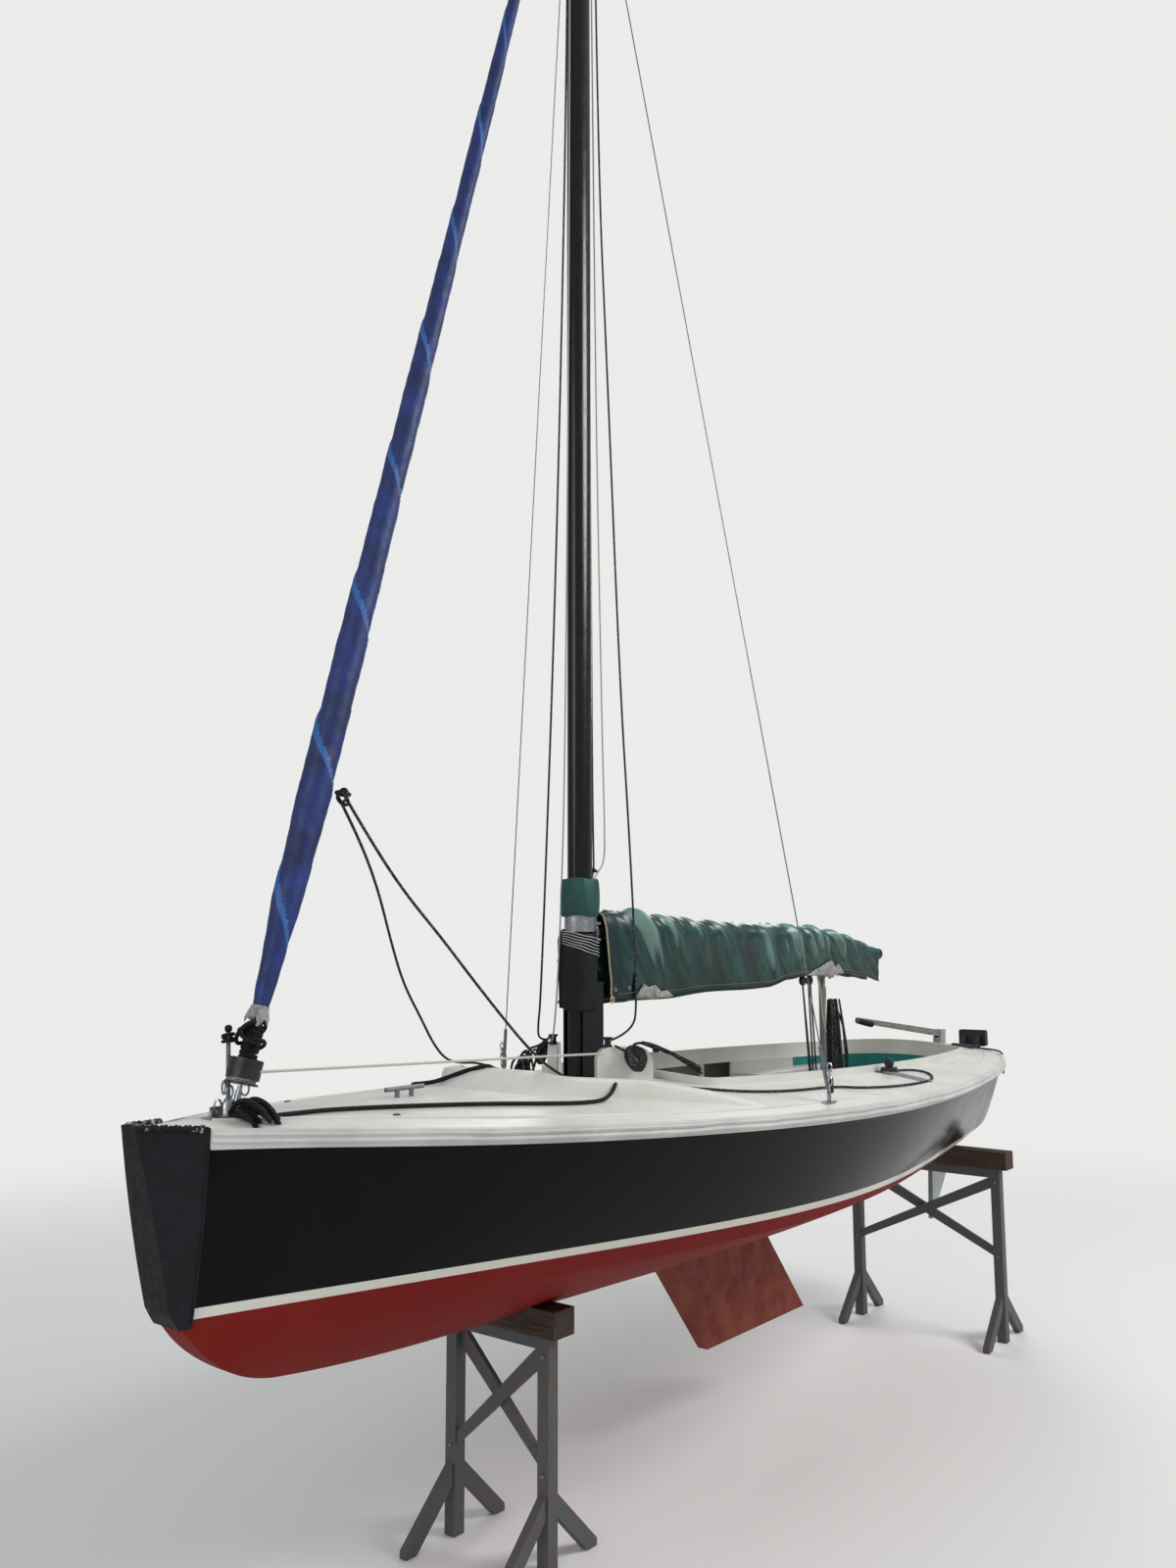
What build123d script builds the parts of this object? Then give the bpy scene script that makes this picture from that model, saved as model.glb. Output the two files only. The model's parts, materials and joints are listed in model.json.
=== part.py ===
"""Open keelboat with one soft chine and a fin keel, laid up ashore on two steel trestles.

X runs forward, Y to port and Z up. The origin is on the floor, under the middle of the whole
length. Heights in the tables are above the waterline, which is the top of the boot stripe.
"""
import os
from math import hypot

from build123d import *

os.makedirs("parts", exist_ok=True)

# Hull
LENGTH = 6200
STEM_X = 3238
MAST_X = 975
WATERLINE = 1360
SKIN = 12
CAMBER = 0.095
DECK = 10
STEM_RAKE = 0.225
STERN_RAKE = 0.238
FOOT_X = MAST_X + 2150
HEEL_X = MAST_X - 3837
ABOVE = 160

# Cockpit
WELL_FORE_X = MAST_X - 300
WELL_AFT_X = MAST_X - 3420
WELL_HALF = 672
LIP_THICK = 16
LIP_DROP = 52
RIM = 34
PANEL_THICK = 12
SOLE_Z = -110
SEAT_Z = 352
SEAT_FORE_X = MAST_X - 2330
SEAT_AFT_X = MAST_X - 3230
SEAT_EDGE_Y = 400

# Spars and stays
MAST_FOOT_Z = 560
MAST_LENGTH = 7700
MAST_FORE_AFT = 136
MAST_ACROSS = 104
TUBE_WALL = 4
HOUNDS_Z = 7190
CHAIN_X = MAST_X - 550
CHAIN_Y = 985
WIRE = 6
STAY_FOOT_X = MAST_X + 1885
PIVOT_Z = 950
BOOM_Z = 1225
BOOM_DROP = 0.043
BOOM_LENGTH = 3030
BOOM_HIGH = 72
BOOM_WIDE = 62
GOOSENECK_X = MAST_X - 118
CRUTCH_X = MAST_X - 2350
CRUTCH_TOP_Z = 985

# Keel, rudder and trestles
KEEL_DEPTH = 878
KEEL_THICK = 56
RUDDER_AFT_X = -3273
BLADE_THICK = 32
HANGERS = (190, -60)
TRESTLE_FORE_X = MAST_X + 440
TRESTLE_AFT_X = MAST_X - 3600
STEEL = 60
BRACE_DROP = 520

# Share of the length from the stem; half breadth and height of the rail;
# half breadth and height of the chine; height of the keel line.
STATIONS = (
    (-0.008, 14, 573, 9, -100, -240),
    (0.06, 252, 545, 112, -108, -300),
    (0.15, 563, 511, 265, -109, -362),
    (0.30, 885, 462, 543, -109, -396),
    (0.45, 1071, 432, 772, -98, -414),
    (0.60, 1098, 421, 815, -72, -408),
    (0.75, 969, 419, 690, -48, -352),
    (0.90, 732, 415, 545, -10, -238),
    (1.01, 432, 410, 330, 24, -140),
)


def up(height):
    """Height above the floor of a height above the waterline."""
    return WATERLINE + height


def station_x(share):
    """Place along the boat of a share of its length."""
    return STEM_X - share * LENGTH


def rail_at(x):
    """Half breadth and height of the rail between the stations, by straight runs."""
    share = (STEM_X - x) / LENGTH
    for low, high in zip(STATIONS, STATIONS[1:]):
        if share <= high[0]:
            part = (share - low[0]) / (high[0] - low[0])
            return low[1] + part * (high[1] - low[1]), low[2] + part * (high[2] - low[2])
    return STATIONS[-1][1], STATIONS[-1][2]


def deck_z(x, y=0.0):
    """Height of the deck's top above the floor."""
    half, rail = rail_at(x)
    return up(rail + DECK + CAMBER * half * (1 - (y / half) ** 2))


def bowed(start, end, bulge):
    """Middle of a run from start to end, pushed to its right by bulge."""
    run = (end[0] - start[0], end[1] - start[1])
    long = hypot(*run)
    middle = ((start[0] + end[0]) / 2, (start[1] + end[1]) / 2)
    return middle[0] + run[1] / long * bulge, middle[1] - run[0] / long * bulge


def hull_form(out):
    """Solid inside the hull's surface moved outwards by out, carried straight up above the rail."""
    with BuildPart() as form:
        for share, rail_y, rail_z, chine_y, chine_z, keel_z in STATIONS:
            keel = (0, up(keel_z) - 1.07 * out)
            chine = (max(chine_y + 0.75 * out, 4), up(chine_z) - 0.8 * out)
            rail = (max(rail_y + 1.1 * out, 5), up(rail_z))
            head = (rail[0], rail[1] + ABOVE)
            bilge = bowed(keel, chine, 14)
            side = bowed(chine, rail, 13)
            with BuildSketch(Plane.YZ.offset(station_x(share))):
                with BuildLine():
                    for hand in (1, -1):
                        ThreePointArc(keel, (hand * bilge[0], bilge[1]), (hand * chine[0], chine[1]))
                        ThreePointArc((hand * chine[0], chine[1]), (hand * side[0], side[1]),
                                      (hand * rail[0], rail[1]))
                        Line((hand * rail[0], rail[1]), (hand * head[0], head[1]))
                    Line((head[0], head[1]), (-head[0], head[1]))
                make_face()
        loft()
        with BuildSketch(Plane.XZ):
            with BuildLine():
                foot = (FOOT_X + out, up(0))
                sweep_end = (MAST_X + 1631, up(-335) - out)
                ThreePointArc(foot, (MAST_X + 1990 + 0.7 * out, up(-190) - 0.7 * out), sweep_end)
                Polyline(sweep_end, (MAST_X + 1400, up(-620)),
                         (HEEL_X - out + 620 * STERN_RAKE, up(-620)),
                         (HEEL_X - out - 800 * STERN_RAKE, up(800)),
                         (FOOT_X + out + 800 * STEM_RAKE, up(800)), foot)
            make_face()
        extrude(amount=1400, both=True, mode=Mode.INTERSECT)
    return form.part


def crowned(low, high):
    """Solid between two cambered surfaces, low and high above the underside of the deck."""
    with BuildPart() as slab:
        for share, rail_y, rail_z, *_ in STATIONS:
            wide = rail_y + 90
            edge = up(rail_z + CAMBER * rail_y * (1 - (wide / rail_y) ** 2))
            crest = up(rail_z + CAMBER * rail_y)
            with BuildSketch(Plane.YZ.offset(station_x(share))):
                with BuildLine():
                    ThreePointArc((-wide, edge + low), (0, crest + low), (wide, edge + low))
                    Line((wide, edge + low), (wide, edge + high))
                    ThreePointArc((wide, edge + high), (0, crest + high), (-wide, edge + high))
                    Line((-wide, edge + high), (-wide, edge + low))
                make_face()
        loft()
    return slab.part


def well_plan(grow):
    """Plan of the cockpit's opening, grown by grow."""
    side = 500 + grow
    stern = 480 + grow
    shoulder_x = WELL_AFT_X + 130 - grow
    with BuildSketch() as plan:
        with BuildLine():
            for hand in (1, -1):
                ThreePointArc((WELL_FORE_X + grow, hand * side), (MAST_X - 1500, hand * (WELL_HALF + grow)),
                              (shoulder_x, hand * stern))
            Line((WELL_FORE_X + grow, side), (WELL_FORE_X + grow, -side))
            ThreePointArc((shoulder_x, stern), (WELL_AFT_X - grow, 0), (shoulder_x, -stern))
        make_face()
        fillet(plan.vertices(), radius=90 + grow)
    return plan.sketch


def block(x_low, x_high, y_low, y_high, z_low, z_high, mode=Mode.ADD):
    """Square-edged bar between two corners, in the part that is being built."""
    with Locations(((x_low + x_high) / 2, (y_low + y_high) / 2, (z_low + z_high) / 2)):
        Box(x_high - x_low, y_high - y_low, z_high - z_low, mode=mode)


def save(part, name):
    """Label a piece and write it."""
    part.label = name
    export_step(part, f"parts/{name}.step")


OUTSIDE = hull_form(0)
INSIDE = hull_form(-SKIN)
OVER_DECK = crowned(0, 420)

# Hull shell, with its top under the deck
with BuildPart() as hull_shell:
    add(OUTSIDE)
    add(INSIDE, mode=Mode.SUBTRACT)
    add(OVER_DECK, mode=Mode.SUBTRACT)
save(hull_shell.part, "hull_shell")

# Deck with the cockpit's opening
with BuildPart() as deck:
    add(crowned(0, DECK))
    add(OUTSIDE, mode=Mode.INTERSECT)
    with BuildSketch(Plane.XY.offset(up(300))):
        add(well_plan(LIP_THICK))
    extrude(amount=500, mode=Mode.SUBTRACT)
save(deck.part, "deck")

# Rub rail round the deck's edge, behind the stem cover
RAIL_OUT = 22
COVER_AFT_X = MAST_X + 2085
with BuildPart() as rub_rail:
    add(hull_form(RAIL_OUT))
    add(crowned(-44, DECK + 6), mode=Mode.INTERSECT)
    add(OUTSIDE, mode=Mode.SUBTRACT)
    block(COVER_AFT_X, STEM_X + 200, -400, 400, up(0), up(900), mode=Mode.SUBTRACT)
save(rub_rail.part, "rub_rail")

# Padded cover over the stem, from under the waterline to over the deck
COVER_OUT = 14
with BuildPart() as stem_cover:
    add(hull_form(COVER_OUT))
    add(crowned(-900, DECK + 12), mode=Mode.INTERSECT)
    block(COVER_AFT_X, STEM_X + 200, -400, 400, up(-60), up(900), mode=Mode.INTERSECT)
    add(OUTSIDE, mode=Mode.SUBTRACT)
save(stem_cover.part, "stem_cover")

# Fin keel, a swept plate that seats against the bottom
with BuildPart() as keel_fin:
    with BuildSketch(Plane.XZ):
        with BuildLine():
            Polyline((MAST_X - 505, up(-300)), (MAST_X - 983, up(-KEEL_DEPTH)),
                     (MAST_X - 1979, up(-KEEL_DEPTH)), (MAST_X - 1490, up(-300)), close=True)
        make_face()
    extrude(amount=KEEL_THICK / 2, both=True)
    add(OUTSIDE, mode=Mode.SUBTRACT)
save(keel_fin.part, "keel_fin")

# Breakwater, a low ridge, blunt ahead, whose two arms fall away to nothing aft
BREAK_TIP_X = MAST_X + 725
BREAK_SHOULDER = (MAST_X + 590, 345)
BREAK_END = (MAST_X - 190, 905)
BREAK_HIGH = 78
BREAK_WIDE = 95
with BuildPart() as breakwater:
    with BuildSketch(Plane.XY.offset(up(300))) as ridge_plan:
        with BuildLine():
            for back in (0, BREAK_WIDE):
                shoulder_x = BREAK_SHOULDER[0] - 1.3 * back
                shoulder_y = BREAK_SHOULDER[1] - 0.3 * back
                ThreePointArc((shoulder_x, shoulder_y), (BREAK_TIP_X - 1.3 * back, 0), (shoulder_x, -shoulder_y))
                for hand in (1, -1):
                    Line((shoulder_x, hand * shoulder_y), (BREAK_END[0] - 0.7 * back, hand * (BREAK_END[1] - 0.7 * back)))
            for hand in (1, -1):
                Line((BREAK_END[0], hand * BREAK_END[1]),
                     (BREAK_END[0] - 0.7 * BREAK_WIDE, hand * (BREAK_END[1] - 0.7 * BREAK_WIDE)))
        make_face()
    extrude(amount=600)
    add(crowned(-900, DECK), mode=Mode.SUBTRACT)
    with BuildSketch(Plane.XZ):
        with BuildLine():
            Polyline((BREAK_TIP_X + 10, up(300)), (BREAK_TIP_X - 40, deck_z(BREAK_TIP_X) + BREAK_HIGH),
                     (BREAK_END[0] - 70, deck_z(BREAK_END[0], BREAK_END[1]) + 8),
                     (BREAK_END[0] - 70, up(300)), close=True)
        make_face()
    extrude(amount=1200, both=True, mode=Mode.INTERSECT)
save(breakwater.part, "breakwater")

# Cockpit sole
with BuildPart() as cockpit_sole:
    block(WELL_AFT_X - 68, WELL_FORE_X + 48, -1000, 1000, up(SOLE_Z) - 15, up(SOLE_Z))
    add(INSIDE, mode=Mode.INTERSECT)
save(cockpit_sole.part, "cockpit_sole")

# Lip round the cockpit's opening, from below the deck to a low rim above it
with BuildPart() as cockpit_lip:
    with BuildSketch(Plane.XY.offset(up(200))):
        add(well_plan(LIP_THICK))
        add(well_plan(0), mode=Mode.SUBTRACT)
    extrude(amount=600)
    add(crowned(-LIP_DROP, DECK + RIM), mode=Mode.INTERSECT)
save(cockpit_lip.part, "cockpit_lip")

# Seat backs, a panel under the lip beside the seats and round the cockpit's after end
with BuildPart() as seat_backs:
    with BuildSketch(Plane.XY.offset(up(SOLE_Z))):
        add(well_plan(PANEL_THICK))
        add(well_plan(0), mode=Mode.SUBTRACT)
    extrude(amount=900)
    block(WELL_AFT_X - 100, SEAT_FORE_X, -1000, 1000, up(SOLE_Z), up(900), mode=Mode.INTERSECT)
    add(crowned(-900, -LIP_DROP), mode=Mode.INTERSECT)
    add(INSIDE, mode=Mode.INTERSECT)
save(seat_backs.part, "seat_backs")

# Posts that hold the side decks up beside the open part of the cockpit
POST = (MAST_X - 1995, 653)
with BuildPart() as deck_posts:
    for hand in (1, -1):
        with BuildSketch(Plane.XY.offset(up(SOLE_Z))):
            with Locations((POST[0], hand * POST[1])):
                Circle(14)
        extrude(amount=900)
    add(crowned(-900, -LIP_DROP), mode=Mode.INTERSECT)
    add(INSIDE, mode=Mode.INTERSECT)
save(deck_posts.part, "deck_posts")

# Bulkheads ahead of and behind the cockpit
with BuildPart() as bulkheads:
    for face_x in (WELL_FORE_X + 55, WELL_AFT_X - 75):
        block(face_x - 7, face_x + 7, -1200, 1200, up(-600), up(900))
    add(INSIDE, mode=Mode.INTERSECT)
    add(OVER_DECK, mode=Mode.SUBTRACT)
save(bulkheads.part, "bulkheads")

# Side seats, each a top with a front down to the sole and an end that faces forward
with BuildPart() as well_room:
    with BuildSketch(Plane.XY.offset(up(SOLE_Z))):
        add(well_plan(0))
    extrude(amount=900)
for name, hand in (("seat_port", 1), ("seat_starboard", -1)):
    edges = sorted((hand * SEAT_EDGE_Y, hand * 1000))
    front = sorted((hand * SEAT_EDGE_Y, hand * (SEAT_EDGE_Y + 15)))
    with BuildPart() as seat:
        block(SEAT_AFT_X, SEAT_FORE_X, *edges, up(SEAT_Z) - 15, up(SEAT_Z))
        block(SEAT_AFT_X, SEAT_FORE_X, *front, up(SOLE_Z), up(SEAT_Z))
        block(SEAT_FORE_X - 15, SEAT_FORE_X, *edges, up(SOLE_Z), up(SEAT_Z))
        add(well_room.part, mode=Mode.INTERSECT)
        add(INSIDE, mode=Mode.INTERSECT)
    save(seat.part, name)

# Mast, an oval tube section with its sail track
MAST_TOP_Z = up(MAST_FOOT_Z + MAST_LENGTH)
STEP_Z = deck_z(MAST_X) + 12
with BuildPart() as mast:
    with BuildSketch(Plane.XY.offset(STEP_Z)):
        with Locations((MAST_X, 0)):
            Ellipse(MAST_FORE_AFT / 2, MAST_ACROSS / 2)
            Ellipse(MAST_FORE_AFT / 2 - TUBE_WALL, MAST_ACROSS / 2 - TUBE_WALL, mode=Mode.SUBTRACT)
    extrude(amount=MAST_TOP_Z - STEP_Z)
save(mast.part, "mast")

# Tabernacle, a deep channel behind and beside the mast's foot, with its base plate
CHANNEL_TOP_Z = up(PIVOT_Z) + 40
with BuildPart() as tabernacle:
    with BuildSketch(Plane.XY.offset(STEP_Z)):
        with Locations((MAST_X - 10, 0)):
            Rectangle(176, MAST_ACROSS + 18)
        with Locations((MAST_X + 14, 0)):
            Rectangle(200, MAST_ACROSS + 4, mode=Mode.SUBTRACT)
        with Locations((MAST_X + 90, 0)):
            Rectangle(80, 200, mode=Mode.SUBTRACT)
    extrude(amount=CHANNEL_TOP_Z - STEP_Z)
    block(MAST_X - 110, MAST_X + 90, -90, 90, STEP_Z - 60, STEP_Z)
    add(crowned(-900, DECK), mode=Mode.SUBTRACT)
save(tabernacle.part, "tabernacle")

# Two upright rounded plates beside the mast that lead and hold the halyards, each with its winch
WINGS = (("halyard_plate_port", "winch_port", 1), ("halyard_plate_starboard", "winch_starboard", -1))
WING_FORE = Vector(MAST_X + 48, 130)
WING_AFT = Vector(MAST_X - 168, 285)
WING_THICK = 46
WING_HIGH = 150
WING_FOOT_Z = 440
WINCH_R = 30
WINCH_X = WING_FORE.X - 46
WINCH_Y = WING_FORE.Y + 33
for plate_name, winch_name, hand in WINGS:
    fore = Vector(WING_FORE.X, hand * WING_FORE.Y)
    along = Vector(WING_AFT.X, hand * WING_AFT.Y) - fore
    face = Plane((fore.X, fore.Y, up(WING_FOOT_Z)), x_dir=along.normalized(),
                 z_dir=along.cross(Vector(0, 0, 1)).normalized())
    top = deck_z(WING_FORE.X, WING_FORE.Y) + WING_HIGH - up(WING_FOOT_Z)
    with BuildPart() as halyard_plate:
        with BuildSketch(face):
            with BuildLine():
                Line((0, 0), (0, top - 60))
                RadiusArc((0, top - 60), (60, top), 60)
                Line((60, top), (along.length - 75, top))
                RadiusArc((along.length - 75, top), (along.length, top - 75), 75)
                Line((along.length, top - 75), (along.length, 0))
                Line((along.length, 0), (0, 0))
            make_face()
        extrude(amount=WING_THICK / 2, both=True)
        add(crowned(-900, DECK), mode=Mode.SUBTRACT)
    save(halyard_plate.part, plate_name)
    with BuildPart() as winch:
        with BuildSketch(Plane((WINCH_X, hand * WINCH_Y, up(WING_FOOT_Z) + top), x_dir=(1, 0, 0), z_dir=(0, -1, 0))):
            with BuildLine():
                Polyline((0, 0), (22, 0), (22, 6), (15, 12), (15, 30), (WINCH_R - 7, 38), (WINCH_R - 7, 44),
                         (0, 44), close=True)
            make_face()
        revolve(axis=Axis((WINCH_X, hand * WINCH_Y, 0), (0, 0, 1)))
    save(winch.part, winch_name)

# Hounds band with tangs for the three stays
with BuildPart() as hounds:
    with BuildSketch(Plane.XY.offset(up(HOUNDS_Z) - 35)):
        with Locations((MAST_X, 0)):
            Ellipse(MAST_FORE_AFT / 2 + 4, MAST_ACROSS / 2 + 4)
            Ellipse(MAST_FORE_AFT / 2, MAST_ACROSS / 2, mode=Mode.SUBTRACT)
    extrude(amount=70)
    for hand in (1, -1):
        block(MAST_X - 26, MAST_X + 4, min(hand * 55, hand * 76), max(hand * 55, hand * 76),
                  up(HOUNDS_Z) - 30, up(HOUNDS_Z) + 10)
    block(MAST_X + 69, MAST_X + 100, -5, 5, up(HOUNDS_Z) - 34, up(HOUNDS_Z) + 30)
save(hounds.part, "hounds")

# Padded collar buttoned round the mast and halyards over the gooseneck
COLLAR_LOW_Z = 1294
COLLAR_HIGH_Z = 1469
with BuildPart() as mast_collar:
    with BuildSketch(Plane.XY.offset(up(COLLAR_LOW_Z))):
        with Locations((MAST_X, 0)):
            Ellipse(100, 88)
            Ellipse(MAST_FORE_AFT / 2, MAST_ACROSS / 2, mode=Mode.SUBTRACT)
    extrude(amount=COLLAR_HIGH_Z - COLLAR_LOW_Z)
save(mast_collar.part, "mast_collar")

# Mast cap with its sheave box
with BuildPart() as mast_cap:
    with BuildSketch(Plane.XY.offset(MAST_TOP_Z)):
        with Locations((MAST_X, 0)):
            Ellipse(MAST_FORE_AFT / 2, MAST_ACROSS / 2)
    extrude(amount=18)
    block(MAST_X - 110, MAST_X + 90, -18, 18, MAST_TOP_Z + 18, MAST_TOP_Z + 52)
save(mast_cap.part, "mast_cap")

# Chainplates through the side decks
with BuildPart() as chainplates:
    for hand in (1, -1):
        block(CHAIN_X - 14, CHAIN_X + 14, hand * CHAIN_Y - 3, hand * CHAIN_Y + 3, up(380), up(507))
        block(CHAIN_X - 45, CHAIN_X + 45, hand * CHAIN_Y - 14, hand * CHAIN_Y + 14, up(400), up(465))
    add(crowned(-900, DECK), mode=Mode.SUBTRACT)
save(chainplates.part, "chainplates")

# Side stays from chainplate to hounds, with a turnbuckle at the foot
for name, hand in (("shroud_port", 1), ("shroud_starboard", -1)):
    foot = Vector(CHAIN_X, hand * CHAIN_Y, up(495))
    head = Vector(MAST_X - 11, hand * 66, up(HOUNDS_Z) - 26)
    run = (head - foot).normalized()
    with BuildPart() as shroud:
        with BuildSketch(Plane(foot + run * 60, z_dir=run)):
            Circle(WIRE / 2)
        extrude(amount=(head - foot).length - 60)
        with BuildSketch(Plane(foot + run * 25, z_dir=run)):
            Circle(9)
        extrude(amount=190)
        with BuildSketch(Plane(foot, z_dir=run)):
            Circle(6)
        extrude(amount=25)
        add(chainplates.part, mode=Mode.SUBTRACT)
        add(hounds.part, mode=Mode.SUBTRACT)
    save(shroud.part, name)

# Stem fitting that takes the forestay
STAY_FOOT = Vector(STAY_FOOT_X, 0, deck_z(STAY_FOOT_X) + 46)
STAY_HEAD = Vector(MAST_X + 90, 0, up(HOUNDS_Z))
STAY_RUN = (STAY_HEAD - STAY_FOOT).normalized()
STAY_LONG = (STAY_HEAD - STAY_FOOT).length
EYE_R = 7
EYE = (STAY_FOOT_X + 80, 0, deck_z(STAY_FOOT_X) + 20)
with BuildPart() as stem_fitting:
    block(STAY_FOOT_X - 110, STAY_FOOT_X + 120, -26, 26, up(480), deck_z(STAY_FOOT_X) + 6)
    block(STAY_FOOT_X - 22, STAY_FOOT_X + 30, -5, 5, up(540), deck_z(STAY_FOOT_X) + 58)
    block(STAY_FOOT_X + 56, STAY_FOOT_X + 104, -5, 5, up(540), deck_z(STAY_FOOT_X) + 40)
    with Locations(Location(EYE, (90, 0, 0))):
        Cylinder(EYE_R, 30, mode=Mode.SUBTRACT)
    add(crowned(-900, DECK), mode=Mode.SUBTRACT)
save(stem_fitting.part, "stem_fitting")


def along_stay(name, table, seat=None):
    """Turned piece round the forestay, cut to fit its seat: rows of distance up the stay and radius."""
    side = Plane(STAY_FOOT, x_dir=STAY_RUN, z_dir=(0, -1, 0))
    with BuildPart() as turned:
        with BuildSketch(side):
            with BuildLine():
                Polyline((table[0][0], 0), *table, (table[-1][0], 0), close=True)
            make_face()
        revolve(axis=Axis(STAY_FOOT, STAY_RUN))
        if seat:
            add(seat, mode=Mode.SUBTRACT)
    save(turned.part, name)


# Forestay's lower end, fixed, under the furling gear
along_stay("forestay_foot", ((0, 12), (40, 12), (40, 9), (56, 9)), stem_fitting.part)

# Furling drum: lower flange, open slot for the line, guard, and the tube up to the sail
along_stay("furling_drum", ((62, 59), (68, 59), (68, 38), (80, 38), (80, 59), (148, 59), (148, 24), (262, 24)))

# Rolled jib: distance up the stay and radius
along_stay("rolled_jib", ((262, 26), (430, 38), (760, 58), (1150, 66), (1600, 62), (2600, 52), (4200, 38),
                          (5400, 30), (6350, 20)))

# Swivel at the head of the rolled jib
along_stay("head_swivel", ((6350, 17), (6420, 17), (6420, 9), (6500, 9)))

# Forestay's upper end, fixed to the hounds
along_stay("forestay_head", ((6506, WIRE / 2), (STAY_LONG - 30, WIRE / 2), (STAY_LONG - 30, 9), (STAY_LONG + 8, 9)),
           hounds.part)

# Gooseneck: fixed bracket behind the mast, and the body that swings on its pin
PIN_Z = up(BOOM_Z)
MAST_BACK_X = MAST_X - MAST_FORE_AFT / 2
with BuildPart() as gooseneck_bracket:
    for low in (-44, 32):
        block(GOOSENECK_X - 16, MAST_BACK_X + 14, -20, 20, PIN_Z + low, PIN_Z + low + 12)
    block(MAST_BACK_X - 8, MAST_BACK_X + 14, -20, 20, PIN_Z - 60, PIN_Z + 60)
    add(mast.part, mode=Mode.SUBTRACT)
    with Locations((GOOSENECK_X, 0, PIN_Z)):
        Cylinder(6, 120)
save(gooseneck_bracket.part, "gooseneck_bracket")

with BuildPart() as gooseneck:
    with Locations((GOOSENECK_X, 0, PIN_Z)):
        Cylinder(15, 52)
    block(GOOSENECK_X - 62, GOOSENECK_X, -9, 9, PIN_Z - 16, PIN_Z + 16)
    with Locations((GOOSENECK_X, 0, PIN_Z)):
        Cylinder(6.1, 130, mode=Mode.SUBTRACT)
    with Locations(Location((GOOSENECK_X - 46, 0, PIN_Z), (90, 0, 0))):
        Cylinder(5, 44)
save(gooseneck.part, "gooseneck")

# Boom, an oval section from the gooseneck's jaw to its end cap
BOOM_START_X = GOOSENECK_X - 34
BOOM_RUN = Vector(-1, 0, -BOOM_DROP).normalized()
with BuildPart() as boom:
    start = Vector(BOOM_START_X - 46, 0, PIN_Z)
    with BuildSketch(Plane(start, x_dir=(0, 1, 0), z_dir=BOOM_RUN)):
        Ellipse(BOOM_WIDE / 2, BOOM_HIGH / 2)
        Ellipse(BOOM_WIDE / 2 - TUBE_WALL, BOOM_HIGH / 2 - TUBE_WALL, mode=Mode.SUBTRACT)
    extrude(amount=BOOM_LENGTH - 80)
    with BuildSketch(Plane(start, x_dir=(0, 1, 0), z_dir=BOOM_RUN)):
        Ellipse(BOOM_WIDE / 2, BOOM_HIGH / 2)
    extrude(amount=8)
    for hand in (1, -1):
        block(GOOSENECK_X - 84, GOOSENECK_X - 32, min(hand * 12, hand * 20), max(hand * 12, hand * 20),
                  PIN_Z - 20, PIN_Z + 20)
    with Locations(Location((GOOSENECK_X - 46, 0, PIN_Z), (90, 0, 0))):
        Cylinder(5.1, 90, mode=Mode.SUBTRACT)
save(boom.part, "boom")

# Sail in its cover, a long bundle that sits astride the boom and hangs down both sides.
# Place aft of the gooseneck, half width, height of its top and of its hem.
COVER_TABLE = (
    (150, 66, 1308, 895),
    (420, 92, 1288, 900),
    (1000, 104, 1262, 905),
    (1700, 100, 1243, 925),
    (2110, 90, 1225, 984),
    (2400, 82, 1208, 988),
    (2930, 60, 1160, 935),
)
CHANNEL = BOOM_WIDE / 2 + 8
with BuildPart() as sail_cover:
    for back, half, top, low in COVER_TABLE:
        boom_top = up(BOOM_Z - BOOM_DROP * back + BOOM_HIGH / 2 + 5)
        shoulder = up(low + 0.75 * (top - low))
        hem = CHANNEL + 12
        with BuildSketch(Plane.YZ.offset(GOOSENECK_X - back)):
            with BuildLine():
                Polyline((half, shoulder), (hem, up(low)), (CHANNEL, up(low)), (CHANNEL, boom_top),
                         (-CHANNEL, boom_top), (-CHANNEL, up(low)), (-hem, up(low)), (-half, shoulder))
                ThreePointArc((half, shoulder), (0, up(top)), (-half, shoulder))
            make_face()
    loft(ruled=True)
save(sail_cover.part, "sail_cover")

# Crutch that stands on the sole under the boom
with BuildPart() as boom_crutch:
    with BuildSketch(Plane.XY.offset(up(SOLE_Z))):
        with Locations((CRUTCH_X, 0)):
            Rectangle(90, 90)
    extrude(amount=8)
    with BuildSketch(Plane.XY.offset(up(SOLE_Z) + 8)):
        with Locations((CRUTCH_X, 0)):
            Circle(20)
    extrude(amount=CRUTCH_TOP_Z - SOLE_Z - 20)
    with BuildSketch(Plane.XY.offset(up(CRUTCH_TOP_Z) - 12)):
        with Locations((CRUTCH_X, 0)):
            Rectangle(50, 90)
    extrude(amount=5)
save(boom_crutch.part, "boom_crutch")

# Mooring cleat on the foredeck
CLEAT_X = MAST_X + 1100
with BuildPart() as bow_cleat:
    for foot_x in (-38, 38):
        with Locations((CLEAT_X + foot_x, 0, deck_z(CLEAT_X) + 8)):
            Cylinder(10, 44)
    with Locations(Location((CLEAT_X, 0, deck_z(CLEAT_X) + 34), (0, 90, 0))):
        Cylinder(9, 200)
    add(crowned(-900, DECK), mode=Mode.SUBTRACT)
save(bow_cleat.part, "bow_cleat")

# Jib sheet tracks on the side decks
TRACK_X = MAST_X - 1655
with BuildPart() as sheet_tracks:
    for hand in (1, -1):
        block(TRACK_X - 13, TRACK_X + 13, hand * 845 - 140, hand * 845 + 140, up(380), up(900))
    add(crowned(DECK, DECK + 16), mode=Mode.INTERSECT)
save(sheet_tracks.part, "sheet_tracks")

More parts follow.
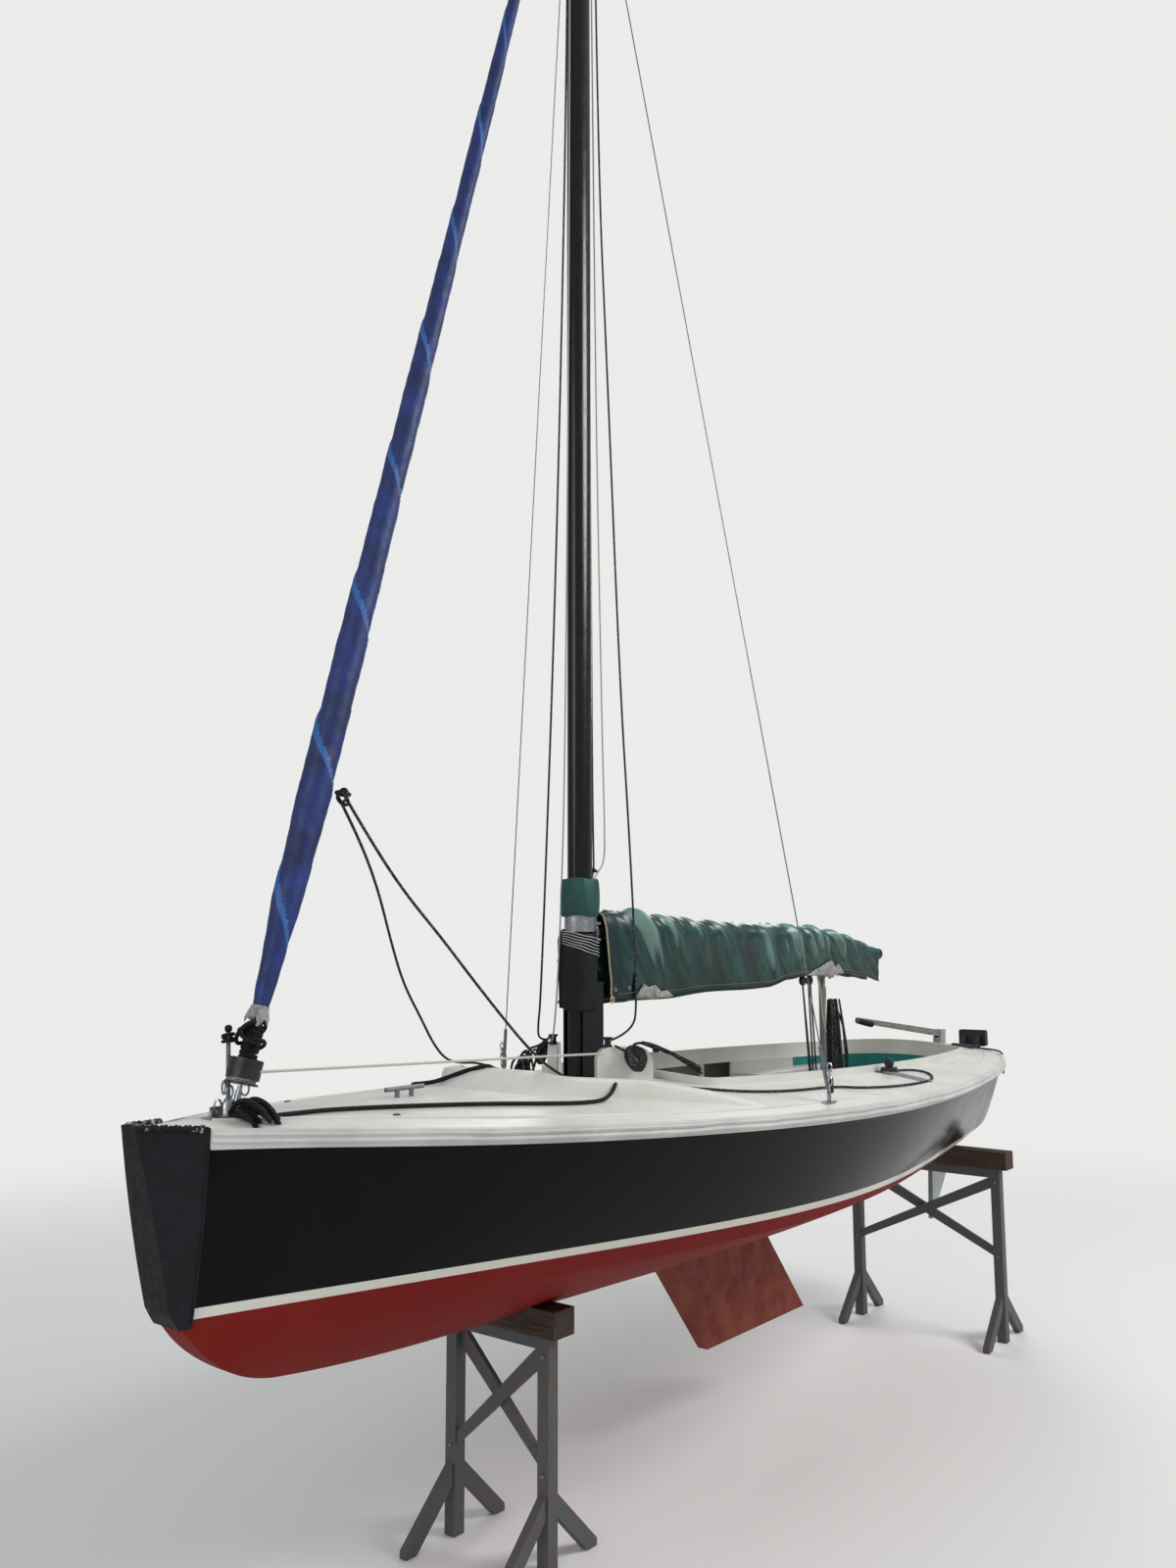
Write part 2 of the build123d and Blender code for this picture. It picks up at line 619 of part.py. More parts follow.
# Rudder hung on the raked transom
AXIS_TOP = Vector(MAST_X - 4016, 0, up(470))
AXIS_LOW = Vector(MAST_X - 3876, 0, up(-120))
AXIS_RUN = (AXIS_TOP - AXIS_LOW).normalized()


def on_axis(height):
    """Point of the rudder's axis at a height above the waterline."""
    part = (up(height) - AXIS_LOW.Z) / (AXIS_TOP.Z - AXIS_LOW.Z)
    return AXIS_LOW + (AXIS_TOP - AXIS_LOW) * part


with BuildPart() as rudder_blade:
    with BuildSketch(Plane.XZ):
        with BuildLine():
            top = on_axis(380)
            low = on_axis(-300)
            Polyline((top.X - 20, top.Z), (low.X - 20, low.Z), (MAST_X - 3822, up(-710)),
                     (MAST_X - 4110, up(-400)), (RUDDER_AFT_X, up(-150)), (RUDDER_AFT_X, up(-60)),
                     (MAST_X - 4190, up(380)), close=True)
        make_face()
    extrude(amount=BLADE_THICK / 2, both=True)
save(rudder_blade.part, "rudder_blade")

# Rudder head, two cheeks on the blade with a slot above it for the tiller
SLOT_Z = 502
with BuildPart() as rudder_head:
    with BuildSketch(Plane.XZ):
        with BuildLine():
            low = on_axis(250)
            top = on_axis(556)
            Polyline((top.X - 22, top.Z), (low.X - 22, low.Z), (low.X - 140, low.Z),
                     (top.X - 100, top.Z), close=True)
        make_face()
    extrude(amount=BLADE_THICK / 2 + 12, both=True)
    block(-3400, -2600, -BLADE_THICK / 2, BLADE_THICK / 2, up(200), up(380), mode=Mode.SUBTRACT)
    block(-3400, -2600, -BLADE_THICK / 2, BLADE_THICK / 2, up(SLOT_Z), up(600), mode=Mode.SUBTRACT)
save(rudder_head.part, "rudder_head")

# Tiller, a bar that rises forward over the after deck from its seat in the head
with BuildPart() as tiller:
    aft_end = Vector(AXIS_TOP.X - 104, 0, up(524))
    fore_end = Vector(MAST_X - 2812, 0, up(682))
    run = (fore_end - aft_end).normalized()
    with BuildSketch(Plane(aft_end, x_dir=(0, 1, 0), z_dir=run)):
        Rectangle(BLADE_THICK, 44)
    with BuildSketch(Plane(fore_end, x_dir=(0, 1, 0), z_dir=run)):
        Rectangle(26, 30)
    loft()
    block(-3400, -2700, -50, 50, up(300), up(SLOT_Z), mode=Mode.SUBTRACT)
save(tiller.part, "tiller")

# Gudgeons on the transom, and the rudder's pintles: a pin in each ring with a strap round the blade
PIN_R = 6
with BuildPart() as gudgeons:
    for height in HANGERS:
        ring = on_axis(height)
        block(ring.X, ring.X + 90, -10, 10, ring.Z - 9, ring.Z + 9)
        with BuildSketch(Plane(ring - AXIS_RUN * 12, z_dir=AXIS_RUN)):
            Circle(12)
        extrude(amount=24)
        with BuildSketch(Plane(ring - AXIS_RUN * 40, z_dir=AXIS_RUN)):
            Circle(PIN_R + 0.1)
        extrude(amount=80, mode=Mode.SUBTRACT)
    add(OUTSIDE, mode=Mode.SUBTRACT)
save(gudgeons.part, "gudgeons")

with BuildPart() as pintles:
    for height in HANGERS:
        ring = on_axis(height)
        ahead = Vector(0, 1, 0).cross(AXIS_RUN)
        with BuildSketch(Plane(ring - AXIS_RUN * 16, z_dir=AXIS_RUN)):
            Circle(PIN_R)
        extrude(amount=34)
        with BuildSketch(Plane(ring + AXIS_RUN * 18, x_dir=ahead, z_dir=AXIS_RUN)):
            with Locations((-34, 0)):
                Rectangle(90, BLADE_THICK + 10)
        extrude(amount=22)
    add(rudder_blade.part, mode=Mode.SUBTRACT)
save(pintles.part, "pintles")

# Bracket for a small motor on the port side of the transom: a pad on two arms
PAD_Y = (170, 360)
PAD_X = -3075
with BuildPart() as motor_bracket:
    block(PAD_X - 22, PAD_X + 22, *PAD_Y, up(455), up(565))
    fillet(motor_bracket.edges().filter_by(Axis.X), radius=14)
    for arm_y in (PAD_Y[0] + 30, PAD_Y[1] - 60):
        with BuildSketch(Plane.XZ.offset(-arm_y)):
            with BuildLine():
                Polyline((PAD_X + 22, up(540)), (PAD_X + 22, up(470)), (HEEL_X, up(290)), (HEEL_X, up(350)),
                         close=True)
            make_face()
        extrude(amount=-30)
    add(hull_form(RAIL_OUT), mode=Mode.SUBTRACT)
save(motor_bracket.part, "motor_bracket")

# Trestles: place along the boat, places of the two posts across it, height of the beam's top
TRESTLES = (
    ("trestle_fore", TRESTLE_FORE_X, -350, 180, -440),
    ("trestle_aft", TRESTLE_AFT_X, -430, 560, -285),
)
for name, place, low_y, high_y, top in TRESTLES:
    middle = (low_y + high_y) / 2
    with BuildPart() as trestle:
        block(place - STEEL / 2, place + STEEL / 2, low_y - STEEL / 2, high_y + STEEL / 2,
                  up(top) - STEEL, up(top))
        for post_y in (low_y, high_y):
            block(place - STEEL / 2, place + STEEL / 2, post_y - STEEL / 2, post_y + STEEL / 2,
                      0, up(top) - STEEL)
            for hand in (1, -1):
                with BuildSketch(Plane.XZ.offset(-post_y)):
                    with BuildLine():
                        Polyline((place, 330), (place + hand * 300, 30), (place + hand * 300, 0),
                                 (place + hand * 240, 0), (place, 240), close=True)
                    make_face()
                extrude(amount=20, both=True)
        for face, start_y, end_y in ((place - 24, low_y, high_y), (place, high_y, low_y)):
            lean = 22 if end_y > start_y else -22
            with BuildSketch(Plane.YZ.offset(face)):
                with BuildLine():
                    Polyline((start_y, up(top) - STEEL), (start_y + 2 * lean, up(top) - STEEL),
                             (end_y, up(top) - BRACE_DROP), (end_y, up(top) - BRACE_DROP - 52),
                             (start_y, up(top) - STEEL - 52), close=True)
                make_face()
            extrude(amount=24)
    save(trestle.part, name)

# Timber baulks between the beams and the bottom
for name, place, low_y, high_y, top in TRESTLES:
    with BuildPart() as baulk:
        block(place - 65, place + 65, low_y - 90, high_y + 90, up(top), up(top) + 110)
        add(OUTSIDE, mode=Mode.SUBTRACT)
    save(baulk.part, name.replace("trestle", "baulk"))
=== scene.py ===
"""Dress the open keelboat that is laid up on two trestles: finishes, soft covers, ropes and small fittings.

Lengths are metres in the frame's own axes: X forward, Y to port, Z up, with the floor at zero.
"""
from __future__ import annotations

import json
import logging
import math
import random
from dataclasses import dataclass, field
from enum import Enum
from typing import Sequence

import bmesh
import bpy
from mathutils import Matrix, Vector
from mathutils.bvhtree import BVHTree

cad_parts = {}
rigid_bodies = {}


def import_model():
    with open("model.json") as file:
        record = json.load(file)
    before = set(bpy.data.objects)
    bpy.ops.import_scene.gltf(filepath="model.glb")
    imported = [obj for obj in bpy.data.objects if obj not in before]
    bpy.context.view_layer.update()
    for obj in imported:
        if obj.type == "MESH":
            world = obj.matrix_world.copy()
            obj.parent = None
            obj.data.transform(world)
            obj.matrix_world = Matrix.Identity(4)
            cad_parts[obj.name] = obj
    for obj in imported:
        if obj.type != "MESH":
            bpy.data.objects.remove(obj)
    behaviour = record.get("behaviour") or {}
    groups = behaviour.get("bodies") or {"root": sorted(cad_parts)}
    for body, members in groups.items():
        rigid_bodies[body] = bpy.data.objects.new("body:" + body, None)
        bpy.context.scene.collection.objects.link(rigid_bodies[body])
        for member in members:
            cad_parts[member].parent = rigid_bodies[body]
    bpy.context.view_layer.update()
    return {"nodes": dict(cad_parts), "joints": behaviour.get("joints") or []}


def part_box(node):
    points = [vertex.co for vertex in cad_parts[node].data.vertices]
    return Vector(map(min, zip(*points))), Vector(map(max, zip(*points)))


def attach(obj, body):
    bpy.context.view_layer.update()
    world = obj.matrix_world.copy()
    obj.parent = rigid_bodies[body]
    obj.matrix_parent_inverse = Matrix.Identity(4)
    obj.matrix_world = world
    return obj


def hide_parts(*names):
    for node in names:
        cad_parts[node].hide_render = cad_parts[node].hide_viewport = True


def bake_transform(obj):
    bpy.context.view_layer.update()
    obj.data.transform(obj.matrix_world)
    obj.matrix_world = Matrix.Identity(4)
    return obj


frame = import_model()
LOG = logging.getLogger("keelboat")

WATERLINE = 1.360
STRIPE = 0.035
MAST_X = 0.975

Point = tuple[float, float, float]
Tree = bpy.types.NodeTree
Socket = bpy.types.NodeSocket
Piece = bpy.types.Object


class Body(Enum):
    """Moving bodies of the boat."""

    HULL = "hull"
    FURLER = "furler"
    GOOSENECK = "gooseneck"
    BOOM = "boom"
    RUDDER = "rudder"


class Hand(Enum):
    """Side of the boat, as the sign of Y."""

    PORT = 1
    STARBOARD = -1


def linear(code: str) -> tuple[float, float, float, float]:
    """Turn an sRGB hex value to linear colour.

    Args:
        code: Six hex digits after a hash.

    Returns:
        Red, green, blue and an alpha of one.
    """
    shares = [int(code[i:i + 2], 16) / 255 for i in (1, 3, 5)]
    return (*(s / 12.92 if s <= 0.04045 else ((s + 0.055) / 1.055) ** 2.4 for s in shares), 1.0)


def add_node(tree: Tree, kind: str, inputs: dict | None = None, **settings: object) -> bpy.types.Node:
    """Add a node with its settings and links.

    Args:
        tree: Node tree that takes the node.
        kind: Node type.
        inputs: Socket name or number to a value, or to the socket that feeds it.
        settings: Properties of the node.

    Returns:
        The new node.
    """
    node = tree.nodes.new(kind)
    for key, value in settings.items():
        setattr(node, key, value)
    for key, value in (inputs or {}).items():
        if isinstance(value, Socket):
            tree.links.new(value, node.inputs[key])
        else:
            node.inputs[key].default_value = value
    return node


@dataclass(frozen=True)
class Finish:
    """Surface with a slow change of tone, a fine relief and uneven gloss.

    The parent of all finishes: a gelcoat, paint, plastic or metal needs no more than this.
    """

    name: str
    slot: str
    tone: str
    # Second colour of the finish; on rope it is the crest of each strand, set against painted shade between the
    # strands.
    second_tone: str
    patch_mm: float = 220.0
    grit_mm: float = 2.0
    relief_mm: float = 0.03
    rough: tuple[float, float] = (0.3, 0.45)
    metallic: float = 0.0
    ior: float = 1.5
    specular: float = 0.5
    ramp: tuple[float, float] = (0.38, 0.72)

    def tint(self, tree: Tree, place: Socket) -> Socket:
        """Colour over the surface.

        Args:
            tree: The material's node tree.
            place: Object coordinates in metres.

        Returns:
            Socket that carries the colour.
        """
        patch = add_node(tree, "ShaderNodeTexNoise", {"Vector": place, "Scale": 1000 / self.patch_mm, "Detail": 5.0,
                                                      "Roughness": 0.62})
        return self.graded(tree, patch.outputs["Fac"], self.ramp)

    def graded(self, tree: Tree, share: Socket,
               ends: tuple[float, float]) -> Socket:
        """Colour between the finish's two tones.

        Args:
            tree: The material's node tree.
            share: Value that is graded.
            ends: Values at which each tone is full.

        Returns:
            Socket that carries the colour.
        """
        ramp = add_node(tree, "ShaderNodeValToRGB", {"Fac": share})
        for stop, place, code in zip(ramp.color_ramp.elements, ends, (self.tone, self.second_tone)):
            stop.position = place
            stop.color = linear(code)
        return ramp.outputs["Color"]

    def height(self, tree: Tree, place: Socket) -> Socket:
        """Relief over the surface, from none to one.

        Args:
            tree: The material's node tree.
            place: Object coordinates in metres.

        Returns:
            Socket that carries the relief.
        """
        grit = add_node(tree, "ShaderNodeTexNoise", {"Vector": place, "Scale": 1000 / self.grit_mm, "Detail": 2.0})
        return grit.outputs["Fac"]

    def gloss(self, tree: Tree, place: Socket) -> Socket:
        """Roughness over the surface; Args and Returns as for tint."""
        cloud = add_node(tree, "ShaderNodeTexNoise", {"Vector": place, "Scale": 2600 / self.patch_mm, "Detail": 3.0})
        return add_node(tree, "ShaderNodeMapRange", {
            "Value": cloud.outputs["Fac"], "From Min": 0.3, "From Max": 0.7, "To Min": self.rough[0],
            "To Max": self.rough[1]}).outputs["Result"]

    def build(self) -> bpy.types.Material:
        """Make the material, once.

        Returns:
            The material.
        """
        if self.name in bpy.data.materials:
            return bpy.data.materials[self.name]
        material = bpy.data.materials.new(self.name)
        material.use_nodes = True
        tree = material.node_tree
        tree.nodes.clear()
        place = add_node(tree, "ShaderNodeTexCoord").outputs["Object"]
        bump = add_node(tree, "ShaderNodeBump", {"Height": self.height(tree, place), "Strength": 1.0,
                                                 "Distance": self.relief_mm / 1000})
        shader = add_node(tree, "ShaderNodeBsdfPrincipled", {
            "Base Color": self.tint(tree, place), "Roughness": self.gloss(tree, place),
            "Metallic": self.metallic, "IOR": self.ior, "Specular IOR Level": self.specular,
            "Normal": bump.outputs["Normal"]})
        add_node(tree, "ShaderNodeOutputMaterial", {"Surface": shader.outputs["BSDF"]})
        return material


@dataclass(frozen=True)
class Topsides(Finish):
    """Hull paint in three bands by height: bottom paint, boot stripe and gloss topsides."""

    bottom: str = "#6d0c0f"
    chalked: str = "#7f2216"
    inner: str = "#b5b2a8"
    stripe: str = "#d9d6cc"

    def tint(self, tree: Tree, place: Socket) -> Socket:
        """Colour by height, with the bottom paint chalked in patches; Args and Returns as for Finish."""
        height = add_node(tree, "ShaderNodeSeparateXYZ", {"Vector": place}).outputs["Z"]
        patch = add_node(tree, "ShaderNodeTexNoise", {"Vector": place, "Scale": 1000 / self.patch_mm, "Detail": 7.0})
        low = add_node(tree, "ShaderNodeMix", {"Factor": patch.outputs["Fac"], "A": linear(self.bottom),
                                               "B": linear(self.chalked)}, data_type="RGBA")
        over_low = add_node(tree, "ShaderNodeMath", {0: height, 1: WATERLINE - STRIPE}, operation="GREATER_THAN")
        over_stripe = add_node(tree, "ShaderNodeMath", {0: height, 1: WATERLINE}, operation="GREATER_THAN")
        banded = add_node(tree, "ShaderNodeMix", {"Factor": over_low.outputs[0], "A": low.outputs["Result"],
                                                  "B": linear(self.stripe)}, data_type="RGBA")
        whole = add_node(tree, "ShaderNodeMix", {"Factor": over_stripe.outputs[0], "A": banded.outputs["Result"],
                                                 "B": super().tint(tree, place)}, data_type="RGBA")
        inside = add_node(tree, "ShaderNodeAttribute", attribute_name="inside").outputs["Fac"]
        return add_node(tree, "ShaderNodeMix", {"Factor": inside, "A": whole.outputs["Result"],
                                                "B": linear(self.inner)}, data_type="RGBA").outputs["Result"]

    def gloss(self, tree: Tree, place: Socket) -> Socket:
        """Bottom paint and the inside are dull, the topsides are not; Args and Returns as for Finish."""
        height = add_node(tree, "ShaderNodeSeparateXYZ", {"Vector": place}).outputs["Z"]
        low = add_node(tree, "ShaderNodeMath", {0: height, 1: WATERLINE - STRIPE}, operation="LESS_THAN")
        inside = add_node(tree, "ShaderNodeAttribute", attribute_name="inside").outputs["Fac"]
        either = add_node(tree, "ShaderNodeMath", {0: low.outputs[0], 1: inside}, operation="MAXIMUM")
        dull = add_node(tree, "ShaderNodeMath", {0: either.outputs[0], 1: 0.62}, operation="MULTIPLY")
        return add_node(tree, "ShaderNodeMath", {0: dull.outputs[0], 1: super().gloss(tree, place)},
                        operation="MAXIMUM").outputs[0]


@dataclass(frozen=True)
class Woven(Finish):
    """Cloth: threads over and under at a set spacing, with slow creases."""

    thread_mm: float = 3.0
    crease_mm: float = 90.0

    def height(self, tree: Tree, place: Socket) -> Socket:
        """Threads and creases; Args and Returns as for Finish."""
        warp = add_node(tree, "ShaderNodeTexWave", {"Vector": place, "Scale": 1000 / self.thread_mm / 6.28,
                                                    "Distortion": 0.6}, bands_direction="X")
        weft = add_node(tree, "ShaderNodeTexWave", {"Vector": place, "Scale": 1000 / self.thread_mm / 6.28,
                                                    "Distortion": 0.6}, bands_direction="Z")
        crease = add_node(tree, "ShaderNodeTexNoise", {"Vector": place, "Scale": 1000 / self.crease_mm, "Detail": 4.0,
                                                       "Distortion": 1.6})
        threads = add_node(tree, "ShaderNodeMath", {0: warp.outputs["Fac"], 1: weft.outputs["Fac"]},
                           operation="MULTIPLY")
        fine = add_node(tree, "ShaderNodeMath", {0: threads.outputs[0], 1: 0.12}, operation="MULTIPLY")
        return add_node(tree, "ShaderNodeMath", {0: crease.outputs["Fac"], 1: fine.outputs[0]}).outputs[0]


@dataclass(frozen=True)
class Folded(Woven):
    """Coated cloth with a painted highlight along its ridges, on its slopes that face the light and near its top, and
    painted shade in its hollows. Reads the piece's fold attribute.
    """

    # Colours of the painted highlight and of the painted shade in the hollows.
    painted_highlight: str = "#7fa097"
    hollow_shade: str = "#04201d"

    def tint(self, tree: Tree, place: Socket) -> Socket:
        """Cloth colour by the fold attribute, with painted shade in the hollows and a painted highlight on lit
        ridges; Args and Returns as for Finish.
        """
        fold = add_node(tree, "ShaderNodeAttribute", attribute_name="fold").outputs["Fac"]
        colour = super().tint(tree, place)
        # Painted shade where the fold value is low, painted highlight where it is high.
        for start, stop, most, tone in ((0.30, 0.0, 0.85, self.hollow_shade), (0.50, 1.0, 0.75, self.painted_highlight)):
            share = add_node(tree, "ShaderNodeMapRange", {"Value": fold, "From Min": start, "From Max": stop,
                                                          "To Max": most}, interpolation_type="SMOOTHSTEP")
            colour = add_node(tree, "ShaderNodeMix", {"Factor": share.outputs["Result"], "A": colour,
                                                      "B": linear(tone)}, data_type="RGBA").outputs["Result"]
        return colour


@dataclass(frozen=True)
class Backed(Woven):
    """Cloth on the after part of the seat backs; ahead of its edge the moulding shows."""

    edge_x: float = -1.98
    bare: str = "#c2bfb6"

    def tint(self, tree: Tree, place: Socket) -> Socket:
        """Cloth aft of its edge; Args and Returns as for Finish."""
        along = add_node(tree, "ShaderNodeSeparateXYZ", {"Vector": place}).outputs["X"]
        ahead = add_node(tree, "ShaderNodeMath", {0: along, 1: self.edge_x}, operation="GREATER_THAN")
        return add_node(tree, "ShaderNodeMix", {"Factor": ahead.outputs[0], "A": super().tint(tree, place),
                                                "B": linear(self.bare)}, data_type="RGBA").outputs["Result"]


@dataclass(frozen=True)
class Laid(Finish):
    """Rope: strands that wind round it, with flecks of a second colour. Reads the piece's UV map."""

    pitch_mm: float = 22.0
    strands: int = 3
    fleck: str = "#c9c9c9"
    fleck_share: float = 0.0

    def winding(self, tree: Tree, times: float) -> Socket:
        """Wave that winds round the rope.

        Args:
            tree: The material's node tree.
            times: Number of waves round the rope.

        Returns:
            Socket from none to one.
        """
        flat = add_node(tree, "ShaderNodeSeparateXYZ", {"Vector": add_node(tree, "ShaderNodeUVMap").outputs["UV"]})
        along = add_node(tree, "ShaderNodeMath", {0: flat.outputs["Y"], 1: 6.2832 * 1000 / self.pitch_mm},
                         operation="MULTIPLY")
        turned = add_node(tree, "ShaderNodeMath", {0: flat.outputs["X"], 1: 6.2832 * times, 2: along.outputs[0]},
                          operation="MULTIPLY_ADD")
        wave = add_node(tree, "ShaderNodeMath", {0: turned.outputs[0]}, operation="SINE")
        return add_node(tree, "ShaderNodeMath", {0: wave.outputs[0], 1: 0.5, 2: 0.5},
                        operation="MULTIPLY_ADD").outputs[0]

    def tint(self, tree: Tree, place: Socket) -> Socket:
        """Colour of the strands, with painted shade between them, and flecks; Args and Returns as for Finish."""
        # Painted shade: the first tone lies in the grooves between the strands, the second tone on their crests.
        base = add_node(tree, "ShaderNodeMix", {"Factor": self.winding(tree, self.strands), "A": linear(self.tone),
                                                "B": linear(self.second_tone)}, data_type="RGBA")
        mark = add_node(tree, "ShaderNodeTexNoise", {"Vector": place, "Scale": 260.0, "Detail": 1.0})
        sharp = add_node(tree, "ShaderNodeMath", {0: mark.outputs["Fac"], 1: 1.0 - self.fleck_share},
                         operation="GREATER_THAN")
        return add_node(tree, "ShaderNodeMix", {"Factor": sharp.outputs[0], "A": base.outputs["Result"],
                                                "B": linear(self.fleck)}, data_type="RGBA").outputs["Result"]

    def height(self, tree: Tree, place: Socket) -> Socket:
        """Rounded strands; Args and Returns as for Finish."""
        return self.winding(tree, self.strands)


@dataclass(frozen=True)
class Rolled(Woven):
    """Sailcloth rolled on its stay, with a paler strip along the edge that winds up it: a painted highlight. Reads
    the UV map.
    """

    # Colour of the paler strip, a painted highlight.
    edge: str = "#275d9c"
    lit_strip_share: float = 0.055

    def tint(self, tree: Tree, place: Socket) -> Socket:
        """Cloth colour with its paler edge strip, which is a painted highlight; Args and Returns as for Finish."""
        flat = add_node(tree, "ShaderNodeSeparateXYZ", {"Vector": add_node(tree, "ShaderNodeUVMap").outputs["UV"]})
        lit_strip = add_node(tree, "ShaderNodeMapRange", {"Value": flat.outputs["X"], "From Min": 1 - self.lit_strip_share,
                                                      "From Max": 1 - 0.8 * self.lit_strip_share})
        return add_node(tree, "ShaderNodeMix", {"Factor": lit_strip.outputs["Result"], "A": super().tint(tree, place),
                                                "B": linear(self.edge)}, data_type="RGBA").outputs["Result"]


@dataclass(frozen=True)
class Sawn(Finish):
    """Timber with grain along one axis of the piece."""

    grain_mm: float = 9.0
    along: int = 1

    def stretched(self, tree: Tree, place: Socket) -> Socket:
        """Grain pattern drawn out along the timber; Args and Returns as for Finish."""
        scale = [1.0, 1.0, 1.0]
        scale[self.along] = 0.06
        drawn = add_node(tree, "ShaderNodeMapping", {"Vector": place, "Scale": scale})
        return add_node(tree, "ShaderNodeTexNoise", {"Vector": drawn.outputs["Vector"], "Scale": 1000 / self.grain_mm,
                                                     "Detail": 4.0, "Distortion": 0.4}).outputs["Fac"]

    def tint(self, tree: Tree, place: Socket) -> Socket:
        """Grain colour; Args and Returns as for Finish."""
        return self.graded(tree, self.stretched(tree, place), (0.35, 0.65))

    def height(self, tree: Tree, place: Socket) -> Socket:
        """Raised grain; Args and Returns as for Finish."""
        return self.stretched(tree, place)


# Brushed-on two-pack gloss over laminate: deep black that mirrors the floor softly
TOPSIDE_PAINT = Topsides("topside_paint", "topside_gloss", "#050607", "#090a0c", patch_mm=400, grit_mm=90,
                         relief_mm=0.3, rough=(0.12, 0.2), specular=0.12)
# Cast keel under the same antifouling, rubbed to a browner red
KEEL_PAINT = Finish("keel_antifouling", "keel_iron", "#6e2012", "#8a3d1f", patch_mm=140, grit_mm=5, relief_mm=0.4,
                    rough=(0.6, 0.8))
# White gelcoat of the deck, gone slightly warm
DECK_GELCOAT = Finish("deck_gelcoat", "deck_white", "#dedcd5", "#d0cdc4", patch_mm=260, grit_mm=3, relief_mm=0.05,
                      rough=(0.28, 0.42))
# Flowcoat inside the cockpit, duller and greyer than the deck
LINER_FLOWCOAT = Finish("liner_flowcoat", "liner_white", "#c9c7c0", "#b1afa6", patch_mm=120, grit_mm=8,
                        relief_mm=0.25, rough=(0.45, 0.6))
# Extruded vinyl of the rub rail, chalked by the weather
RAIL_VINYL = Finish("rail_vinyl", "rail_grey", "#cfcfca", "#b4b5b2", patch_mm=260, grit_mm=3, relief_mm=0.1,
                    rough=(0.5, 0.65))
# Coated cloth of the stem cover and the flap on the mast
BLACK_CANVAS = Woven("black_canvas", "cover_black", "#07090d", "#10151c", patch_mm=70, relief_mm=1.5,
                     rough=(0.55, 0.75), thread_mm=4, crease_mm=60, specular=0.3)
# The same cloth where its coating has come off and the pale base shows
TORN_CANVAS = Woven("torn_canvas", "cover_black", "#07090d", "#a3a9ae", patch_mm=34, relief_mm=1.2,
                    rough=(0.6, 0.8), specular=0.3, ramp=(0.54, 0.60), thread_mm=3, crease_mm=25)
# Vinyl-coated polyester of the boom cover: dark teal with a wet-looking gloss, with painted highlights and painted
# shade on its folds
COVER_VINYL = Folded("cover_vinyl", "cover_green", "#0b3531", "#124c45", patch_mm=150, relief_mm=0.8,
                    rough=(0.22, 0.34), specular=0.5, thread_mm=3, crease_mm=60)
# The same vinyl in the collar, dull from handling
COLLAR_VINYL = Woven("collar_vinyl", "cover_green", "#0d3d37", "#14504a", patch_mm=90, relief_mm=0.8,
                     rough=(0.5, 0.65), thread_mm=3, crease_mm=40)
# Rolled polyester sailcloth with its sun strip; the paler winding strip on it is a painted highlight
JIB_CLOTH = Rolled("jib_sailcloth", "sail_cloth", "#0a1d50", "#14327a", patch_mm=130, relief_mm=1.6,
                   rough=(0.5, 0.65), thread_mm=3, crease_mm=55)
# Frayed white sailcloth at the foot of the roll and in the open end of the boom cover
FRAYED_CLOTH = Woven("frayed_sailcloth", "sail_cloth", "#77777a", "#b9b4a8", patch_mm=22, relief_mm=1.0,
                     rough=(0.7, 0.9), thread_mm=2.5, crease_mm=18)
# Woven turquoise cloth on the seat backs, with bare moulding ahead of it
SEAT_CLOTH = Backed("seat_back_cloth", "panel_turquoise", "#0b6f6a", "#11837c", patch_mm=80, relief_mm=0.6,
                    rough=(0.6, 0.75), thread_mm=4)
# Gloss black paint on the aluminium spars
SPAR_PAINT = Finish("spar_paint", "mast_black", "#060709", "#0c0e11", patch_mm=160, grit_mm=4, relief_mm=0.03,
                    rough=(0.16, 0.28), specular=0.4)
# Stainless steel, polished and then dulled
STAINLESS = Finish("stainless_steel", "bright_steel", "#b4b7ba", "#8e9296", patch_mm=40, grit_mm=1.5,
                   relief_mm=0.02, rough=(0.22, 0.4), metallic=1.0)
# Hot-dipped zinc of the mooring cleat
GALVANISED = Finish("galvanised_steel", "bright_steel", "#8b9093", "#6d7275", patch_mm=18, grit_mm=3,
                    relief_mm=0.15, rough=(0.45, 0.6), metallic=0.8)
# Moulded acetal and glass-filled nylon of drums, blocks and cars
BLACK_NYLON = Finish("black_nylon", "fitting_black", "#0f1012", "#1c1e21", patch_mm=50, grit_mm=1.5, relief_mm=0.04,
                     rough=(0.35, 0.5))
# Grey paint on the rudder's blade
BLADE_PAINT = Finish("blade_paint", "blade_grey", "#858b8e", "#9aa0a2", patch_mm=150, grit_mm=5, relief_mm=0.08,
                     rough=(0.4, 0.55))
# Grey enamel on the trestles, rusting through at the welds
TRESTLE_ENAMEL = Finish("trestle_enamel", "trestle_steel", "#4b5357", "#5b4a40", patch_mm=45, grit_mm=3,
                        relief_mm=0.2, rough=(0.5, 0.7))
# Dark oiled softwood of the baulks
BAULK_WOOD = Sawn("baulk_softwood", "timber", "#2a2019", "#4a3a2c", relief_mm=0.6, rough=(0.7, 0.85))
# Bare, silvered hardwood of the tiller
TILLER_WOOD = Sawn("tiller_hardwood", "timber", "#5f5b55", "#8a857c", relief_mm=0.3, rough=(0.55, 0.7), grain_mm=6,
                   along=0)
